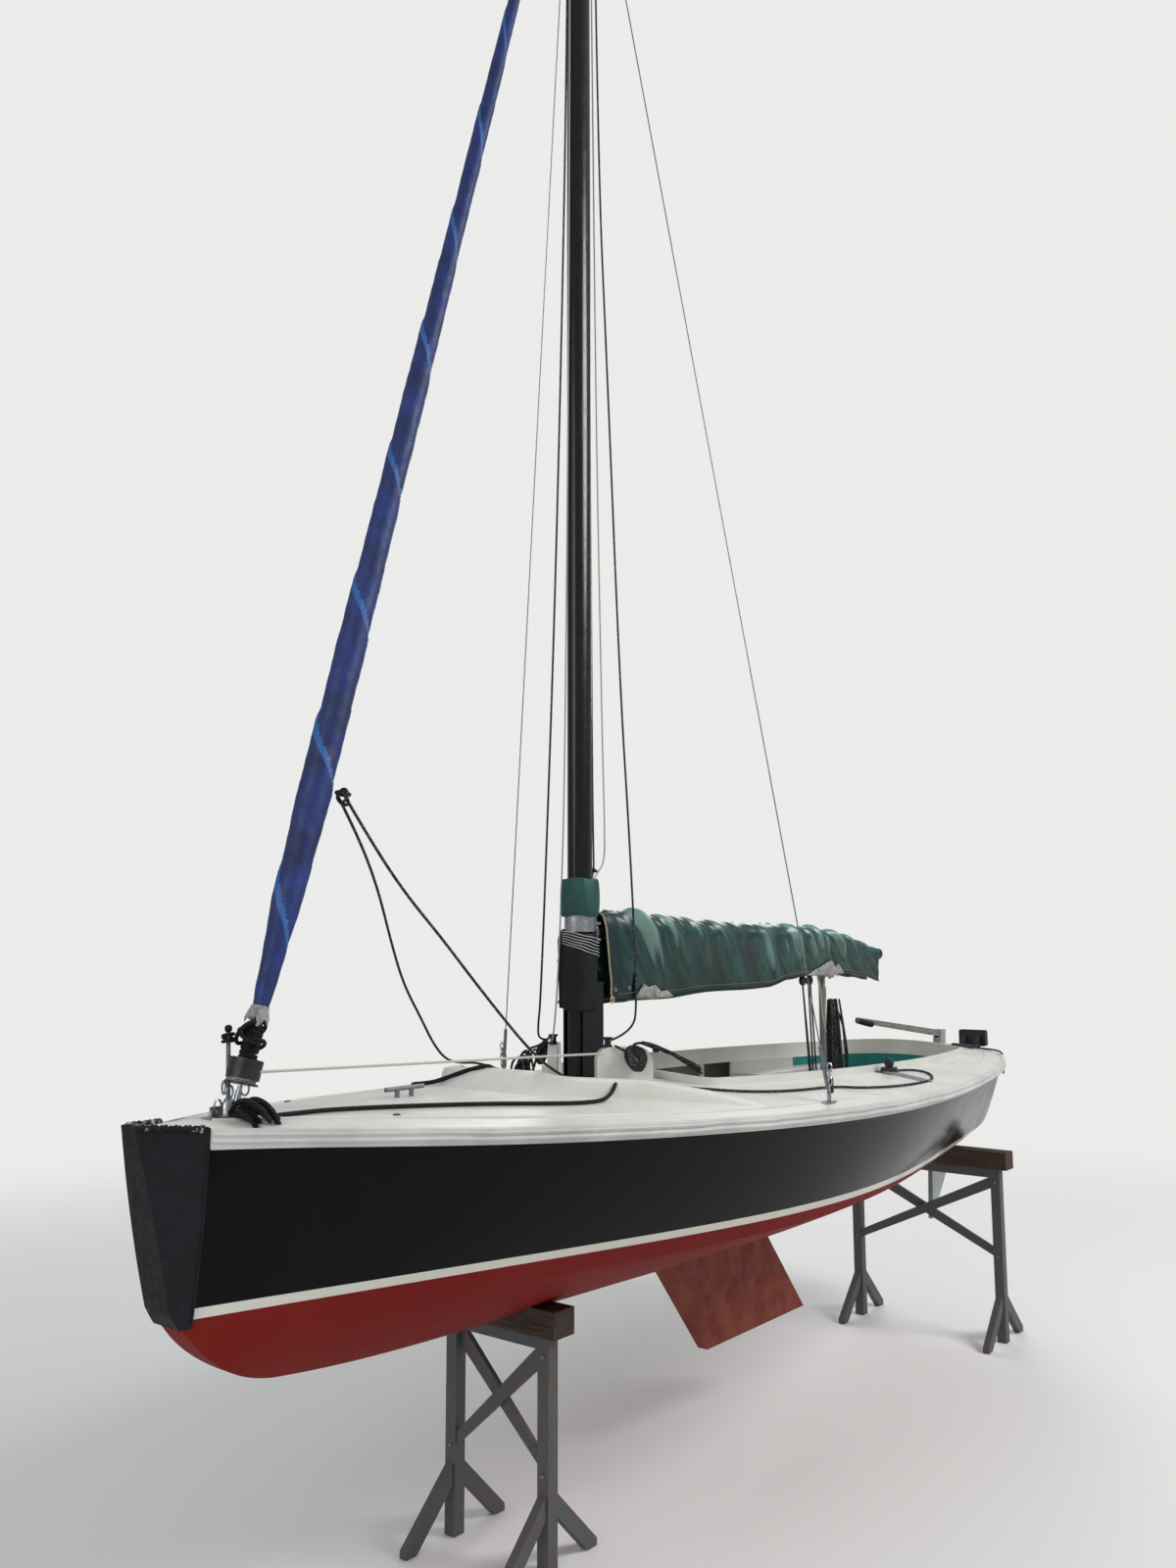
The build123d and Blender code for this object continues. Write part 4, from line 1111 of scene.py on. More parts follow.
@dataclass
class Rig:
    """Mast with its fittings, stays, halyards and the padded collar with its lashing."""

    wrap_drop: float = 0.36
    top: float = field(init=False)
    collar_low: float = field(init=False)

    def __post_init__(self) -> None:
        """Read the mast's reach from the frame."""
        self.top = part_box("mast")[1].z
        self.collar_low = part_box("mast_collar")[0].z

    def build(self) -> None:
        """Dress the rig."""
        smooth_copy("mast", SPAR_PAINT, Body.HULL, 40)
        smooth_copy("shroud_port", WIRE, Body.HULL, 40)
        smooth_copy("shroud_starboard", WIRE, Body.HULL, 40)
        paint_nodes(("tabernacle",), SPAR_PAINT)
        paint_nodes(("hounds", "stem_fitting", "gooseneck_bracket", "gooseneck", "forestay_head"),
                    STAINLESS)
        smooth_copy("forestay_foot", STAINLESS, Body.HULL, 40)
        paint_nodes(("mast_cap",), BLACK_NYLON)
        self.track()
        self.halyards()
        self.collar()
        self.lashing()

    def track(self) -> None:
        """Sail track down the mast's after face, over the gooseneck."""
        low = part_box("mast_collar")[1].z + 0.01
        settle(bar("sail_track", (MAST_X - 0.0735, -0.011, low), (MAST_X - 0.066, 0.011, self.top - 0.12), 0.002),
               SPAR_PAINT, Body.HULL)

    def halyards(self) -> None:
        """Halyards: two led forward to the starboard plate, one to the port plate, two hitched over the collar."""
        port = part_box("winch_port")[1]
        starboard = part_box("winch_starboard")
        back = MAST_X - 0.085
        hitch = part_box("mast_collar")[1].z
        lines = (
            ("halyard_fore", BLACK_BRAID, 0.0050, ((1.040, -0.004, self.top - 0.01), (1.045, -0.006, 7.6),
                                                   (1.082, -0.045, 4.6), (1.112, -0.12, 2.30),
                                                   (1.090, -0.165, starboard[1].z + 0.01),
                                                   (1.060, -0.166, starboard[1].z - 0.02),
                                                   (1.026, -0.163, starboard[1].z - 0.022))),
            ("halyard_thin", GREY_CORD, 0.0038, ((1.044, 0.006, self.top - 0.01), (1.048, 0.003, 6.5),
                                                 (1.058, -0.02, 3.4), (1.060, -0.05, 2.585), (1.040, -0.10, 2.12),
                                                 (1.020, -0.135, starboard[1].z - 0.03))),
            ("halyard_port", BLACK_BRAID, 0.0050, ((0.868, 0.006, self.top - 0.06), (0.858, 0.026, 6.7),
                                                   (0.836, 0.075, 5.28), (0.851, 0.150, 3.76), (0.856, 0.206, 3.00),
                                                   (0.878, 0.261, 2.25), (0.905, 0.248, port.z + 0.02),
                                                   (0.985, 0.172, port.z - 0.018))),
            ("halyard_hitched", BLACK_BRAID, 0.0045, ((0.893, -0.004, self.top - 0.06), (0.886, -0.004, 5.8),
                                                      (0.872, -0.006, 3.4), (0.864, -0.006, 2.95),
                                                      (0.868, 0.0, 2.875), (back, 0.0, hitch - 0.01))),
            ("halyard_doubled", PALE_BRAID, 0.0040, ((0.893, 0.008, self.top - 0.06), (0.862, 0.008, 5.8),
                                                     (0.812, 0.008, 3.6), (0.790, 0.008, 3.02), (0.800, 0.006, 2.91),
                                                     (0.840, 0.003, 2.868), (back - 0.004, 0.0, hitch - 0.012))),
        )
        for name, finish, radius, route in lines:
            settle(tube(name, spline(route, 16), radius, 8), finish, Body.HULL, 80)
        settle(tube("hitch", spline([(0.858, -0.012, 2.884), (0.880, 0.012, 2.888), (0.884, -0.004, 2.872),
                                     (0.862, 0.012, 2.868), (0.852, 0.0, 2.878), (0.872, -0.014, 2.876)]), 0.006, 8),
               BLACK_BRAID, Body.HULL, 80)

    def collar(self) -> None:
        """Padded cloth collar with its gathered edges, over a bright sleeve."""
        low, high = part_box("mast_collar")
        reach = ((high.x - low.x) / 2, (high.y - low.y) / 2)
        rows, sides = 22, 72
        points = []
        for i in range(rows + 1):
            share = i / rows
            swell = 0.90 + 0.10 * math.sin(math.pi * share) ** 0.5
            for k in range(sides):
                turn = 2 * math.pi * k / sides
                gather = 1 + 0.022 * math.sin(11 * turn + 4 * share) * (1 - 0.6 * math.sin(math.pi * share))
                points.append((MAST_X + reach[0] * swell * gather * math.cos(turn),
                               reach[1] * swell * gather * math.sin(turn),
                               low.z + (high.z - low.z) * share + 0.004 * math.sin(3 * turn)))
        ends = [tuple(range(sides))[::-1], tuple(range(rows * sides, (rows + 1) * sides))]
        piece = settle(outward(mesh_piece("mast_collar_cloth", points, bands(rows, sides) + ends)), COLLAR_VINYL,
                       Body.HULL, 50)
        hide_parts("mast_collar")
        oval = [(MAST_X + 0.082 * math.cos(2 * math.pi * k / 48), 0.066 * math.sin(2 * math.pi * k / 48))
                for k in range(48)]
        sleeve = [(x, y, z) for z in (self.collar_low - 0.072, self.collar_low + 0.004) for x, y in oval]
        ends = [tuple(range(48))[::-1], tuple(range(48, 96))]
        settle(outward(mesh_piece("mast_sleeve", sleeve, bands(1, 48) + ends)), STAINLESS, Body.HULL)

    def lashing(self) -> None:
        """Cords that hold the cover's front to the mast, and the black cloth that wraps the mast under them."""
        top = self.collar_low - 0.066
        cords = []
        for i in range(6):
            path = [(MAST_X - 0.004 + 0.096 * math.cos(a), 0.080 * math.sin(a),
                     top - 0.022 - 0.0135 * i - (0.020 + 0.002 * i) * math.sin(a - 0.9)
                     + 0.0015 * math.sin(5 * a + i))
                    for a in (2 * math.pi * k / 44 for k in range(44))]
            cords.append(tube("turn", path, 0.0024, 6, closed=True))
        settle(joined("mast_lashing", cords), GREY_CORD, Body.HULL)
        rows, sides = 30, 64
        points = []
        for i in range(rows + 1):
            fall = i / rows
            for k in range(sides):
                turn = 2 * math.pi * k / sides
                wing = math.exp(-((turn - 5.35) / 0.20) ** 2) * min(1.0, 6 * fall + 0.3) * (1 - 0.25 * fall)
                fold = 1 + 0.012 * math.sin(6 * turn + 3 * fall) + 0.34 * wing
                points.append((MAST_X + 0.0885 * fold * math.cos(turn), 0.0735 * fold * math.sin(turn),
                               top - self.wrap_drop * fall - 0.016 * math.sin(turn + 0.6)))
        wrap = outward(mesh_piece("mast_wrap", points, bands(rows, sides)))
        settle(walled(wrap, 0.003), BLACK_CANVAS, Body.HULL, 60)
        edge = Vector((math.cos(5.35) * 0.0885, math.sin(5.35) * 0.0735, 0))
        snaps = [turned("snap", Vector((MAST_X, 0, z)) + edge * 1.27 + Vector((0.006, 0.004, 0)), (0.55, 0.83, 0),
                        ((0, 0.008), (0.003, 0.008), (0.005, 0.005)), 14) for z in (top - 0.14, top - 0.33)]
        settle(joined("wrap_snaps", snaps), STAINLESS, Body.HULL)


@dataclass
class Furler:
    """Drum, swivel and jib rolled round the forestay."""

    foot: Vector = field(init=False)
    run: Vector = field(init=False)
    table: tuple[tuple[float, float], ...] = (
        (0.270, 0.022), (0.300, 0.027), (0.430, 0.036), (0.760, 0.055), (1.150, 0.062), (1.600, 0.058),
        (2.600, 0.049), (4.200, 0.036), (5.400, 0.028), (6.300, 0.019), (6.345, 0.012))
    ring_step: float = 0.018
    sides: int = 44
    wrap_pitch: float = 0.62
    wrap_step: float = 0.13

    def __post_init__(self) -> None:
        """Read the stay from the furling joint."""
        joint = next(j for j in frame["joints"] if j["name"] == "furling")
        self.foot = Vector(joint["pos_m"])
        self.run = Vector(joint["axis"]).normalized()

    def at(self, distance: float) -> Vector:
        """Point of the stay at a distance up it."""
        return self.foot + self.run * distance

    def radius(self, distance: float) -> float:
        """Radius of the roll at a distance up the stay."""
        for (a, ra), (b, rb) in zip(self.table, self.table[1:]):
            if distance <= b:
                share = (distance - a) / (b - a)
                share = share * share * (3 - 2 * share)
                return ra + (rb - ra) * share
        return self.table[-1][1]

    def build(self) -> None:
        """Dress the furling gear and roll the jib."""
        smooth_copy("furling_drum", BLACK_NYLON, Body.FURLER, 35)
        smooth_copy("head_swivel", BLACK_NYLON, Body.FURLER, 35)
        self.jib()
        self.foot_cloth()
        self.windings()

    def jib(self) -> None:
        """The rolled sail: a spiral whose edge winds up the stay."""
        start, stop = self.table[0][0], self.table[-1][0]
        count = int((stop - start) / self.ring_step)
        side = Vector((0, 1, 0))
        other = self.run.cross(side)
        rng = random.Random(4)
        sway = [rng.uniform(0, 6.28) for _ in range(4)]
        points, shares, faces, flat = [], [], [], []
        for i in range(count + 1):
            distance = start + (stop - start) * i / count
            base = self.radius(distance)
            for k in range(self.sides):
                turn = k / self.sides
                wrap = (turn + distance / self.wrap_pitch + 0.03 * math.sin(distance * 9 + sway[0])) % 1
                second = (turn + distance / self.wrap_pitch + 0.45) % 1
                grow = 1 + self.wrap_step * (wrap - 0.5) + 0.35 * self.wrap_step * (second - 0.5)
                pucker = 0.018 * math.sin(distance * 58 + turn * 19 + sway[1]) * math.sin(distance * 21 + sway[2])
                reach = base * (grow + pucker)
                angle = 2 * math.pi * turn
                points.append(self.at(distance) + (side * math.cos(angle) + other * math.sin(angle)) * reach)
                shares.append(wrap)
        for i in range(count):
            for k in range(self.sides):
                n = (k + 1) % self.sides
                corners = (i * self.sides + k, (i + 1) * self.sides + k, (i + 1) * self.sides + n, i * self.sides + n)
                faces.append(corners)
                values = [shares[c] for c in corners]
                if max(values) - min(values) > 0.5:
                    values = [v if v > 0.5 else 1.0 for v in values]
                flat += [(v, start + (stop - start) * (c // self.sides) / count) for v, c in zip(values, corners)]
        for edge in (range(self.sides), range(count * self.sides + self.sides - 1, count * self.sides - 1, -1)):
            faces.append(tuple(edge))
            flat += [(0.1, 0.0)] * self.sides
        piece = settle(outward(mesh_piece("jib_roll", points, faces, flat), 0.0), JIB_CLOTH, Body.FURLER, 60)
        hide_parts("rolled_jib")

    def foot_cloth(self) -> None:
        """Torn pale cloth at the foot of the roll."""
        rng = random.Random(11)
        side = Vector((0, 1, 0))
        other = self.run.cross(side)
        sides, rows = 40, 6
        hang = [rng.uniform(0.3, 1.0) for _ in range(sides)]
        points = []
        for i in range(rows + 1):
            for k in range(sides):
                drop = 0.075 * hang[k] * i / rows
                reach = 0.031 + 0.010 * i / rows * math.sin(7 * k) + 0.006 * i / rows
                angle = 2 * math.pi * k / sides
                points.append(self.at(0.335 - drop) + (side * math.cos(angle) + other * math.sin(angle)) * reach)
        cloth = mesh_piece("jib_foot_cloth", points, bands(rows, sides))
        settle(walled(cloth, 0.0015), FRAYED_CLOTH, Body.FURLER, 60)

    def windings(self) -> None:
        """Rope wound round the tube over the drum, and furling line on the drum."""
        Repeat("tack_windings", 0.0095, 0.12, 3).along([self.at(0.155), self.at(0.262)], ring(0.029, 0.0052),
                                                       BLACK_LAID, Body.FURLER)
        across = Vector((0, 1, 0))
        side = self.run.cross(across)
        knots = [hoop("knot", self.at(up) + side * shift, side * reach, (self.run * lean + across) * reach, 0.0075)
                 for reach, up, lean, shift in ((0.036, 0.20, 0.5, 0.012), (0.040, 0.225, -0.6, -0.014),
                                                (0.034, 0.250, 0.9, 0.0), (0.030, 0.235, 1.3, -0.030))]
        settle(joined("tack_knots", knots), BLACK_LAID, Body.FURLER, 80)
        Repeat("drum_windings", 0.0042, 0.03, 5).along([self.at(0.0695), self.at(0.079)], ring(0.047, 0.0025, 28),
                                                       PALE_BRAID, Body.FURLER)


@dataclass
class BoomCover:
    """Mainsail in its laced cover along the boom, and the boom's end."""

    pivot_x: float = 0.857
    rows: tuple[tuple[float, float, float, float], ...] = (
        # aft of the pivot, half width, top, hem
        (0.028, 0.043, 2.682, 2.246), (0.10, 0.050, 2.690, 2.247), (0.20, 0.066, 2.686, 2.256),
        (0.42, 0.086, 2.672, 2.262), (0.90, 0.096, 2.652, 2.274), (1.50, 0.098, 2.642, 2.290),
        (1.75, 0.096, 2.636, 2.318), (1.95, 0.094, 2.630, 2.336), (2.12, 0.090, 2.616, 2.350),
        (2.45, 0.078, 2.584, 2.345), (2.70, 0.070, 2.540, 2.318), (2.93, 0.054, 2.498, 2.290))
    steps: int = 300
    around: int = 66
    front_slant: float = 0.055
    side_shift: float = 0.37
    inset: float = 0.010
    fold_high: float = 0.034

    def row(self, back: float) -> tuple[float, float, float]:
        """Half width, top and hem at a place aft of the pivot."""
        for a, b in zip(self.rows, self.rows[1:]):
            if back <= b[0]:
                share = max(0.0, (back - a[0]) / (b[0] - a[0]))
                share = share * share * (3 - 2 * share)
                return tuple(a[i] + (b[i] - a[i]) * share for i in (1, 2, 3))
        return self.rows[-1][1:]

    def crease(self, along: float, down: float) -> float:
        """Folds of the cloth: sharp ridges with round hollows between them, that run down and aft.

        Args:
            along: Metres aft of the pivot.
            down: From none at the top to one at the hem.

        Returns:
            How far the cloth stands out, in metres.
        """
        lean = along - 0.34 * down - 0.08 * down * down
        total = 0.0
        for size, pace, phase, drift in ((0.054, 9.5, 0.4, 1.5), (0.034, 17.0, 1.9, 2.1), (0.009, 43.0, 4.1, 2.6)):
            wave = math.sin(pace * (lean + 0.04 * drift * math.sin(2.7 * along + phase)) + phase + drift * down)
            fade = 0.60 + 0.40 * math.sin(3.3 * along + 3 * phase + 2 * down)
            total += size * fade * max(0.0, 1 - math.sqrt(wave * wave + 0.008)) ** 1.4
        lower = 0.12 + 0.88 * math.sin(math.pi * min(1.0, 0.06 + 0.98 * down)) ** 0.8
        flat = min(1.0, max(0.12, (along - 0.10) / 0.14))
        return total * lower * flat - self.inset

    def build(self) -> None:
        """Make the cover, its trim and the boom's finish."""
        smooth_copy("boom", SPAR_PAINT, Body.BOOM, 40)
        self.cloth()
        self.trim()
        self.opening()

    def place(self, back: float, share: float) -> Vector:
        """Point of the cover.

        Args:
            back: Metres aft of the pivot.
            share: From none at the port hem, over the top, to one at the starboard hem.

        Returns:
            Place in the frame.
        """
        half, top, hem = self.row(back)
        hand = 1 if share < 0.5 else -1
        down = abs(1 - 2 * share)
        back += self.front_slant * down * down * max(0.0, 1 - (back - self.rows[0][0]) / 0.5)
        bulge = max(0.055, 0.5 * (top - hem) * 0.46)
        if down < 0.42:
            angle = down / 0.42 * math.pi / 2
            y, z = half * math.sin(angle), top - bulge * (1 - math.cos(angle))
            out = Vector((0, hand * math.sin(angle), math.cos(angle)))
        else:
            fall = min(1.0, (down - 0.42) / 0.58)
            y = half + (0.052 - half) * (1 - (1 - fall) ** 1.7) * 0.9
            z = top - bulge - (top - bulge - hem) * fall
            out = Vector((0, hand, 0))
        seed = back + (self.side_shift if hand < 0 else 0.0)
        spot = Vector((self.pivot_x - back, hand * y, z)) + out * self.crease(seed, down)
        spot.z += 0.006 * math.sin(7.3 * back + hand) * down ** 3
        return spot

    def cloth(self) -> Piece:
        """The cover's sheet.

        Returns:
            The sheet.
        """
        first, last = self.rows[0][0], self.rows[-1][0]
        points, faces = [], []
        for i in range(self.steps + 1):
            back = first + (last - first) * i / self.steps
            for k in range(self.around + 1):
                points.append(self.place(back, k / self.around))
        wide = self.around + 1
        for i in range(self.steps):
            for k in range(self.around):
                a = i * wide + k
                faces.append((a, a + wide, a + wide + 1, a + 1))
        sheet = mesh_piece("sail_cover_cloth", points, faces)
        work = bmesh.new()
        work.from_mesh(sheet.data)
        bmesh.ops.recalc_face_normals(work, faces=work.faces)
        work.faces.ensure_lookup_table()
        middle = work.faces[self.around // 2]
        if middle.normal.z < 0:
            bmesh.ops.reverse_faces(work, faces=work.faces)
        work.to_mesh(sheet.data)
        work.free()
        # The fold value adds the folds' height, their slope that faces forward to the light, and a share near the
        # top: it places the cover's painted highlight and painted shade.
        fold = sheet.data.attributes.new("fold", "FLOAT", "POINT")
        for n, mark in enumerate(fold.data):
            back, share = first + (last - first) * (n // wide) / self.steps, (n % wide) / self.around
            seed, down = back + (self.side_shift if share >= 0.5 else 0.0), abs(1 - 2 * share)
            slope = (self.crease(seed + 0.006, down) - self.crease(seed - 0.006, down)) / 0.012
            mark.value = (0.45 * (self.crease(seed, down) + self.inset) / self.fold_high + 1.1 * max(0.0, slope)
                          + 0.25 * max(0.0, 1 - down / 0.45))
        settle(walled(sheet, 0.0025), COVER_VINYL, Body.BOOM, 60)
        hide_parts("sail_cover")
        girth = sum((self.place(1.5, (k + 1) / self.around) - self.place(1.5, k / self.around)).length
                    for k in range(self.around))
        return sheet

    def trim(self) -> None:
        """Rolled hem, eyelets, lacing cord along the front and straps."""
        first, last = self.rows[0][0], self.rows[-1][0]
        hems = []
        for share in (0.0, 1.0):
            path = [self.place(first + (last - first) * i / 180, share) for i in range(181)]
            hems.append(tube("hem", path, 0.0055, 8))
        settle(joined("cover_hem", hems), COVER_VINYL, Body.BOOM)
        for hand, share in ((Hand.PORT, 0.03), (Hand.STARBOARD, 0.97)):
            path = [self.place(first + 0.05 + (last - first - 0.1) * i / 60, share)
                    + Vector((0, hand.value * 0.004, 0)) for i in range(61)]
            stitch = tube("stitch", [(0, 0, -0.004), (0, 0, 0.004)], 0.0012, 5)
            Repeat(f"hem_stitches_{hand.name.lower()}", 0.014).along(path, stitch, CREAM_CORD, Body.BOOM)
        eyelets = []
        for back, share in ((0.05, 0.05), (0.17, 0.05), (0.05, 0.95), (0.17, 0.95)):
            spot = self.place(back, share) + Vector((0, math.copysign(0.003, 0.5 - share), 0))
            eyelets.append(hoop("eyelet", spot, (0.009, 0, 0), (0, 0, 0.009), 0.003, 18, 6))
        settle(joined("cover_eyelets", eyelets), STAINLESS, Body.BOOM)
        front = [self.place(first + 0.003, 0.06 + 0.88 * k / 60) + Vector((0.003, 0, 0)) for k in range(61)]
        front = [Vector((0.792, 0.048, 2.266)), Vector((0.797, 0.046, 2.290))] + front[2:-2] \
            + [Vector((0.797, -0.046, 2.290)), Vector((0.792, -0.048, 2.266))]
        knots = [hoop("knot", (0.792, y, 2.262), (0.012, 0, 0), (0, 0, 0.014), 0.004, 16, 6)
                 for y in (0.048, -0.048)]
        settle(joined("front_cord", [tube("cord", front, 0.0042, 8), *knots]), CREAM_CORD, Body.BOOM)
        strap = [self.place(0.21, 0.02 + 0.10 * k / 8) + Vector((0, 0.004, -0.012)) for k in range(9)]
        settle(tube("cover_strap", strap, 0.006, 6), BLACK_CANVAS, Body.BOOM)

    def opening(self) -> None:
        """Pale lining where the hem is turned up: behind the front apron, and torn open near the after end."""
        rng = random.Random(21)
        for name, start, stop, ragged, outline in (
                ("turned_hem", 0.22, 0.56, 0.006, (0.05, 0.55, 0.42, 0.50, 0.25, 0.28, 0.05)),
                ("torn_lining", 1.96, 2.42, 0.034, (0.08, 0.22, 0.45, 0.70, 1.0, 0.50, 0.78, 0.10))):
            points, faces, count = [], [], 56
            for i in range(count + 1):
                back = start + (stop - start) * i / count
                swell = math.sin(math.pi * i / count)
                fall = ragged * rng.uniform(0.0, 1.0) * swell
                run = i / count * (len(outline) - 1)
                n = min(int(run), len(outline) - 2)
                peak = outline[n] + (outline[n + 1] - outline[n]) * (run - n)
                for k in range(4):
                    share = k / 3
                    base = self.place(back, 0.002 + 0.115 * (1 - share) * max(0.04, peak))
                    pleat = 0.007 * math.sin(i * 0.9 + 1.2 * share) + 0.004 * math.sin(i * 2.1)
                    base.y += 0.006 + (0.012 + pleat) * swell * share
                    base.z -= fall * share
                    points.append(base)
            for i in range(count):
                for k in range(3):
                    a = i * 4 + k
                    faces.append((a, a + 4, a + 5, a + 1))
            flap = mesh_piece(name, points, faces)
            settle(walled(flap, 0.0015), FRAYED_CLOTH, Body.BOOM, 60)


@dataclass
class Mainsheet:
    """Falls of the mainsheet between the boom and the cockpit, with their blocks."""

    upper: Point = (-1.125, 0.0, 2.318)
    coaming: Point = (-1.235, 0.0, 1.74)
    middle: Point = (-1.130, 0.0, 2.270)
    lower: Point = (-1.275, 0.0, 1.285)
    strand_steps: int = 40
    radius: float = 0.0055
    fan: tuple[tuple[float, float, float], ...] = (
        # offsets aft at the top, aft at the foot, and across
        (0.0, 0.0, 0.004), (-0.020, 0.012, -0.006), (-0.085, -0.030, 0.010), (-0.10, -0.012, -0.010))

    def build(self) -> None:
        """Make the falls in two pieces, lower and upper, split at the middle point."""
        low, mid, top = (Vector(p) for p in (self.lower, self.middle, self.upper))
        split = (top.z - mid.z) / (top.z - low.z)
        for name, start, stop, pair in (("falls_lower", 1.0, split, (Body.HULL, Body.GOOSENECK)),
                                        ("falls_upper", split, 0.0, (Body.GOOSENECK, Body.BOOM))):
            strands = []
            for high_x, low_x, across in self.fan:
                path = []
                for i in range(self.strand_steps + 1):
                    share = start + (stop - start) * i / self.strand_steps
                    spot = top.lerp(low, share)
                    path.append((spot.x + high_x + (low_x - high_x) * share, across, spot.z))
                strands.append(tube("fall", path, self.radius, 8))
            ends = (self.coaming, self.middle) if pair[0] is Body.HULL else (self.middle, self.upper)
            bend(joined(name, strands), BLACK_BRAID, *pair, *ends)
        table = ((0, 0.024), (0.004, 0.028), (0.020, 0.028), (0.024, 0.024))
        settle(joined("upper_block", [turned("sheave", (top.x + dx, -0.012, top.z - 0.012), (0, 1, 0), table, 24)
                                      for dx in (-0.012, -0.095)]), BLACK_NYLON, Body.BOOM)
        settle(joined("lower_block", [turned("sheave", (low.x + dx, -0.012, low.z), (0, 1, 0), table, 24)
                                      for dx in (-0.024, 0.010)]
                      + [bar("strap", (low.x - 0.05, -0.012, 1.25), (low.x + 0.06, 0.012, low.z - 0.01), 0.003)]),
               BLACK_NYLON, Body.HULL)
        self.tail()
        settle(tube("cream_tie", spline([(-1.272, 0.030, 2.330), (-1.285, 0.040, 2.24), (-1.300, 0.034, 2.14),
                                         (-1.330, 0.030, 2.05), (-1.352, 0.030, 1.995)]), 0.006, 8), CREAM_CORD,
               Body.BOOM, 80)
        smooth_copy("boom_crutch", GALVANISED, Body.HULL, 35)

    def tail(self) -> None:
        """Rest of the mainsheet, hung in a tangled coil on the crutch."""
        rng = random.Random(9)
        route = [(-1.412, 0.0, 2.262)]
        for k in range(9):
            top_x = -1.445 - 0.015 * k
            low_x = -1.425 - 0.028 * k - 0.010 * rng.random()
            side = (0.036 if k % 2 else -0.030) * rng.uniform(0.6, 1.3)
            deep = 1.46 + 0.30 * rng.random()
            route += [(top_x, side * 0.5, 2.236), (0.6 * top_x + 0.4 * low_x, side, 2.03),
                      (low_x, side * 1.2, deep + 0.12), (low_x, 0.0, deep), (low_x - 0.004, -side, deep + 0.12),
                      (0.6 * top_x + 0.4 * low_x - 0.006, -side, 2.02)]
        route += [(-1.46, 0.01, 2.225), (-1.50, 0.02, 1.95), (-1.56, 0.03, 1.62)]
        Rope("mainsheet_tail", tuple(route), 0.012, BLACK_BRAID, lay="coiled").build()


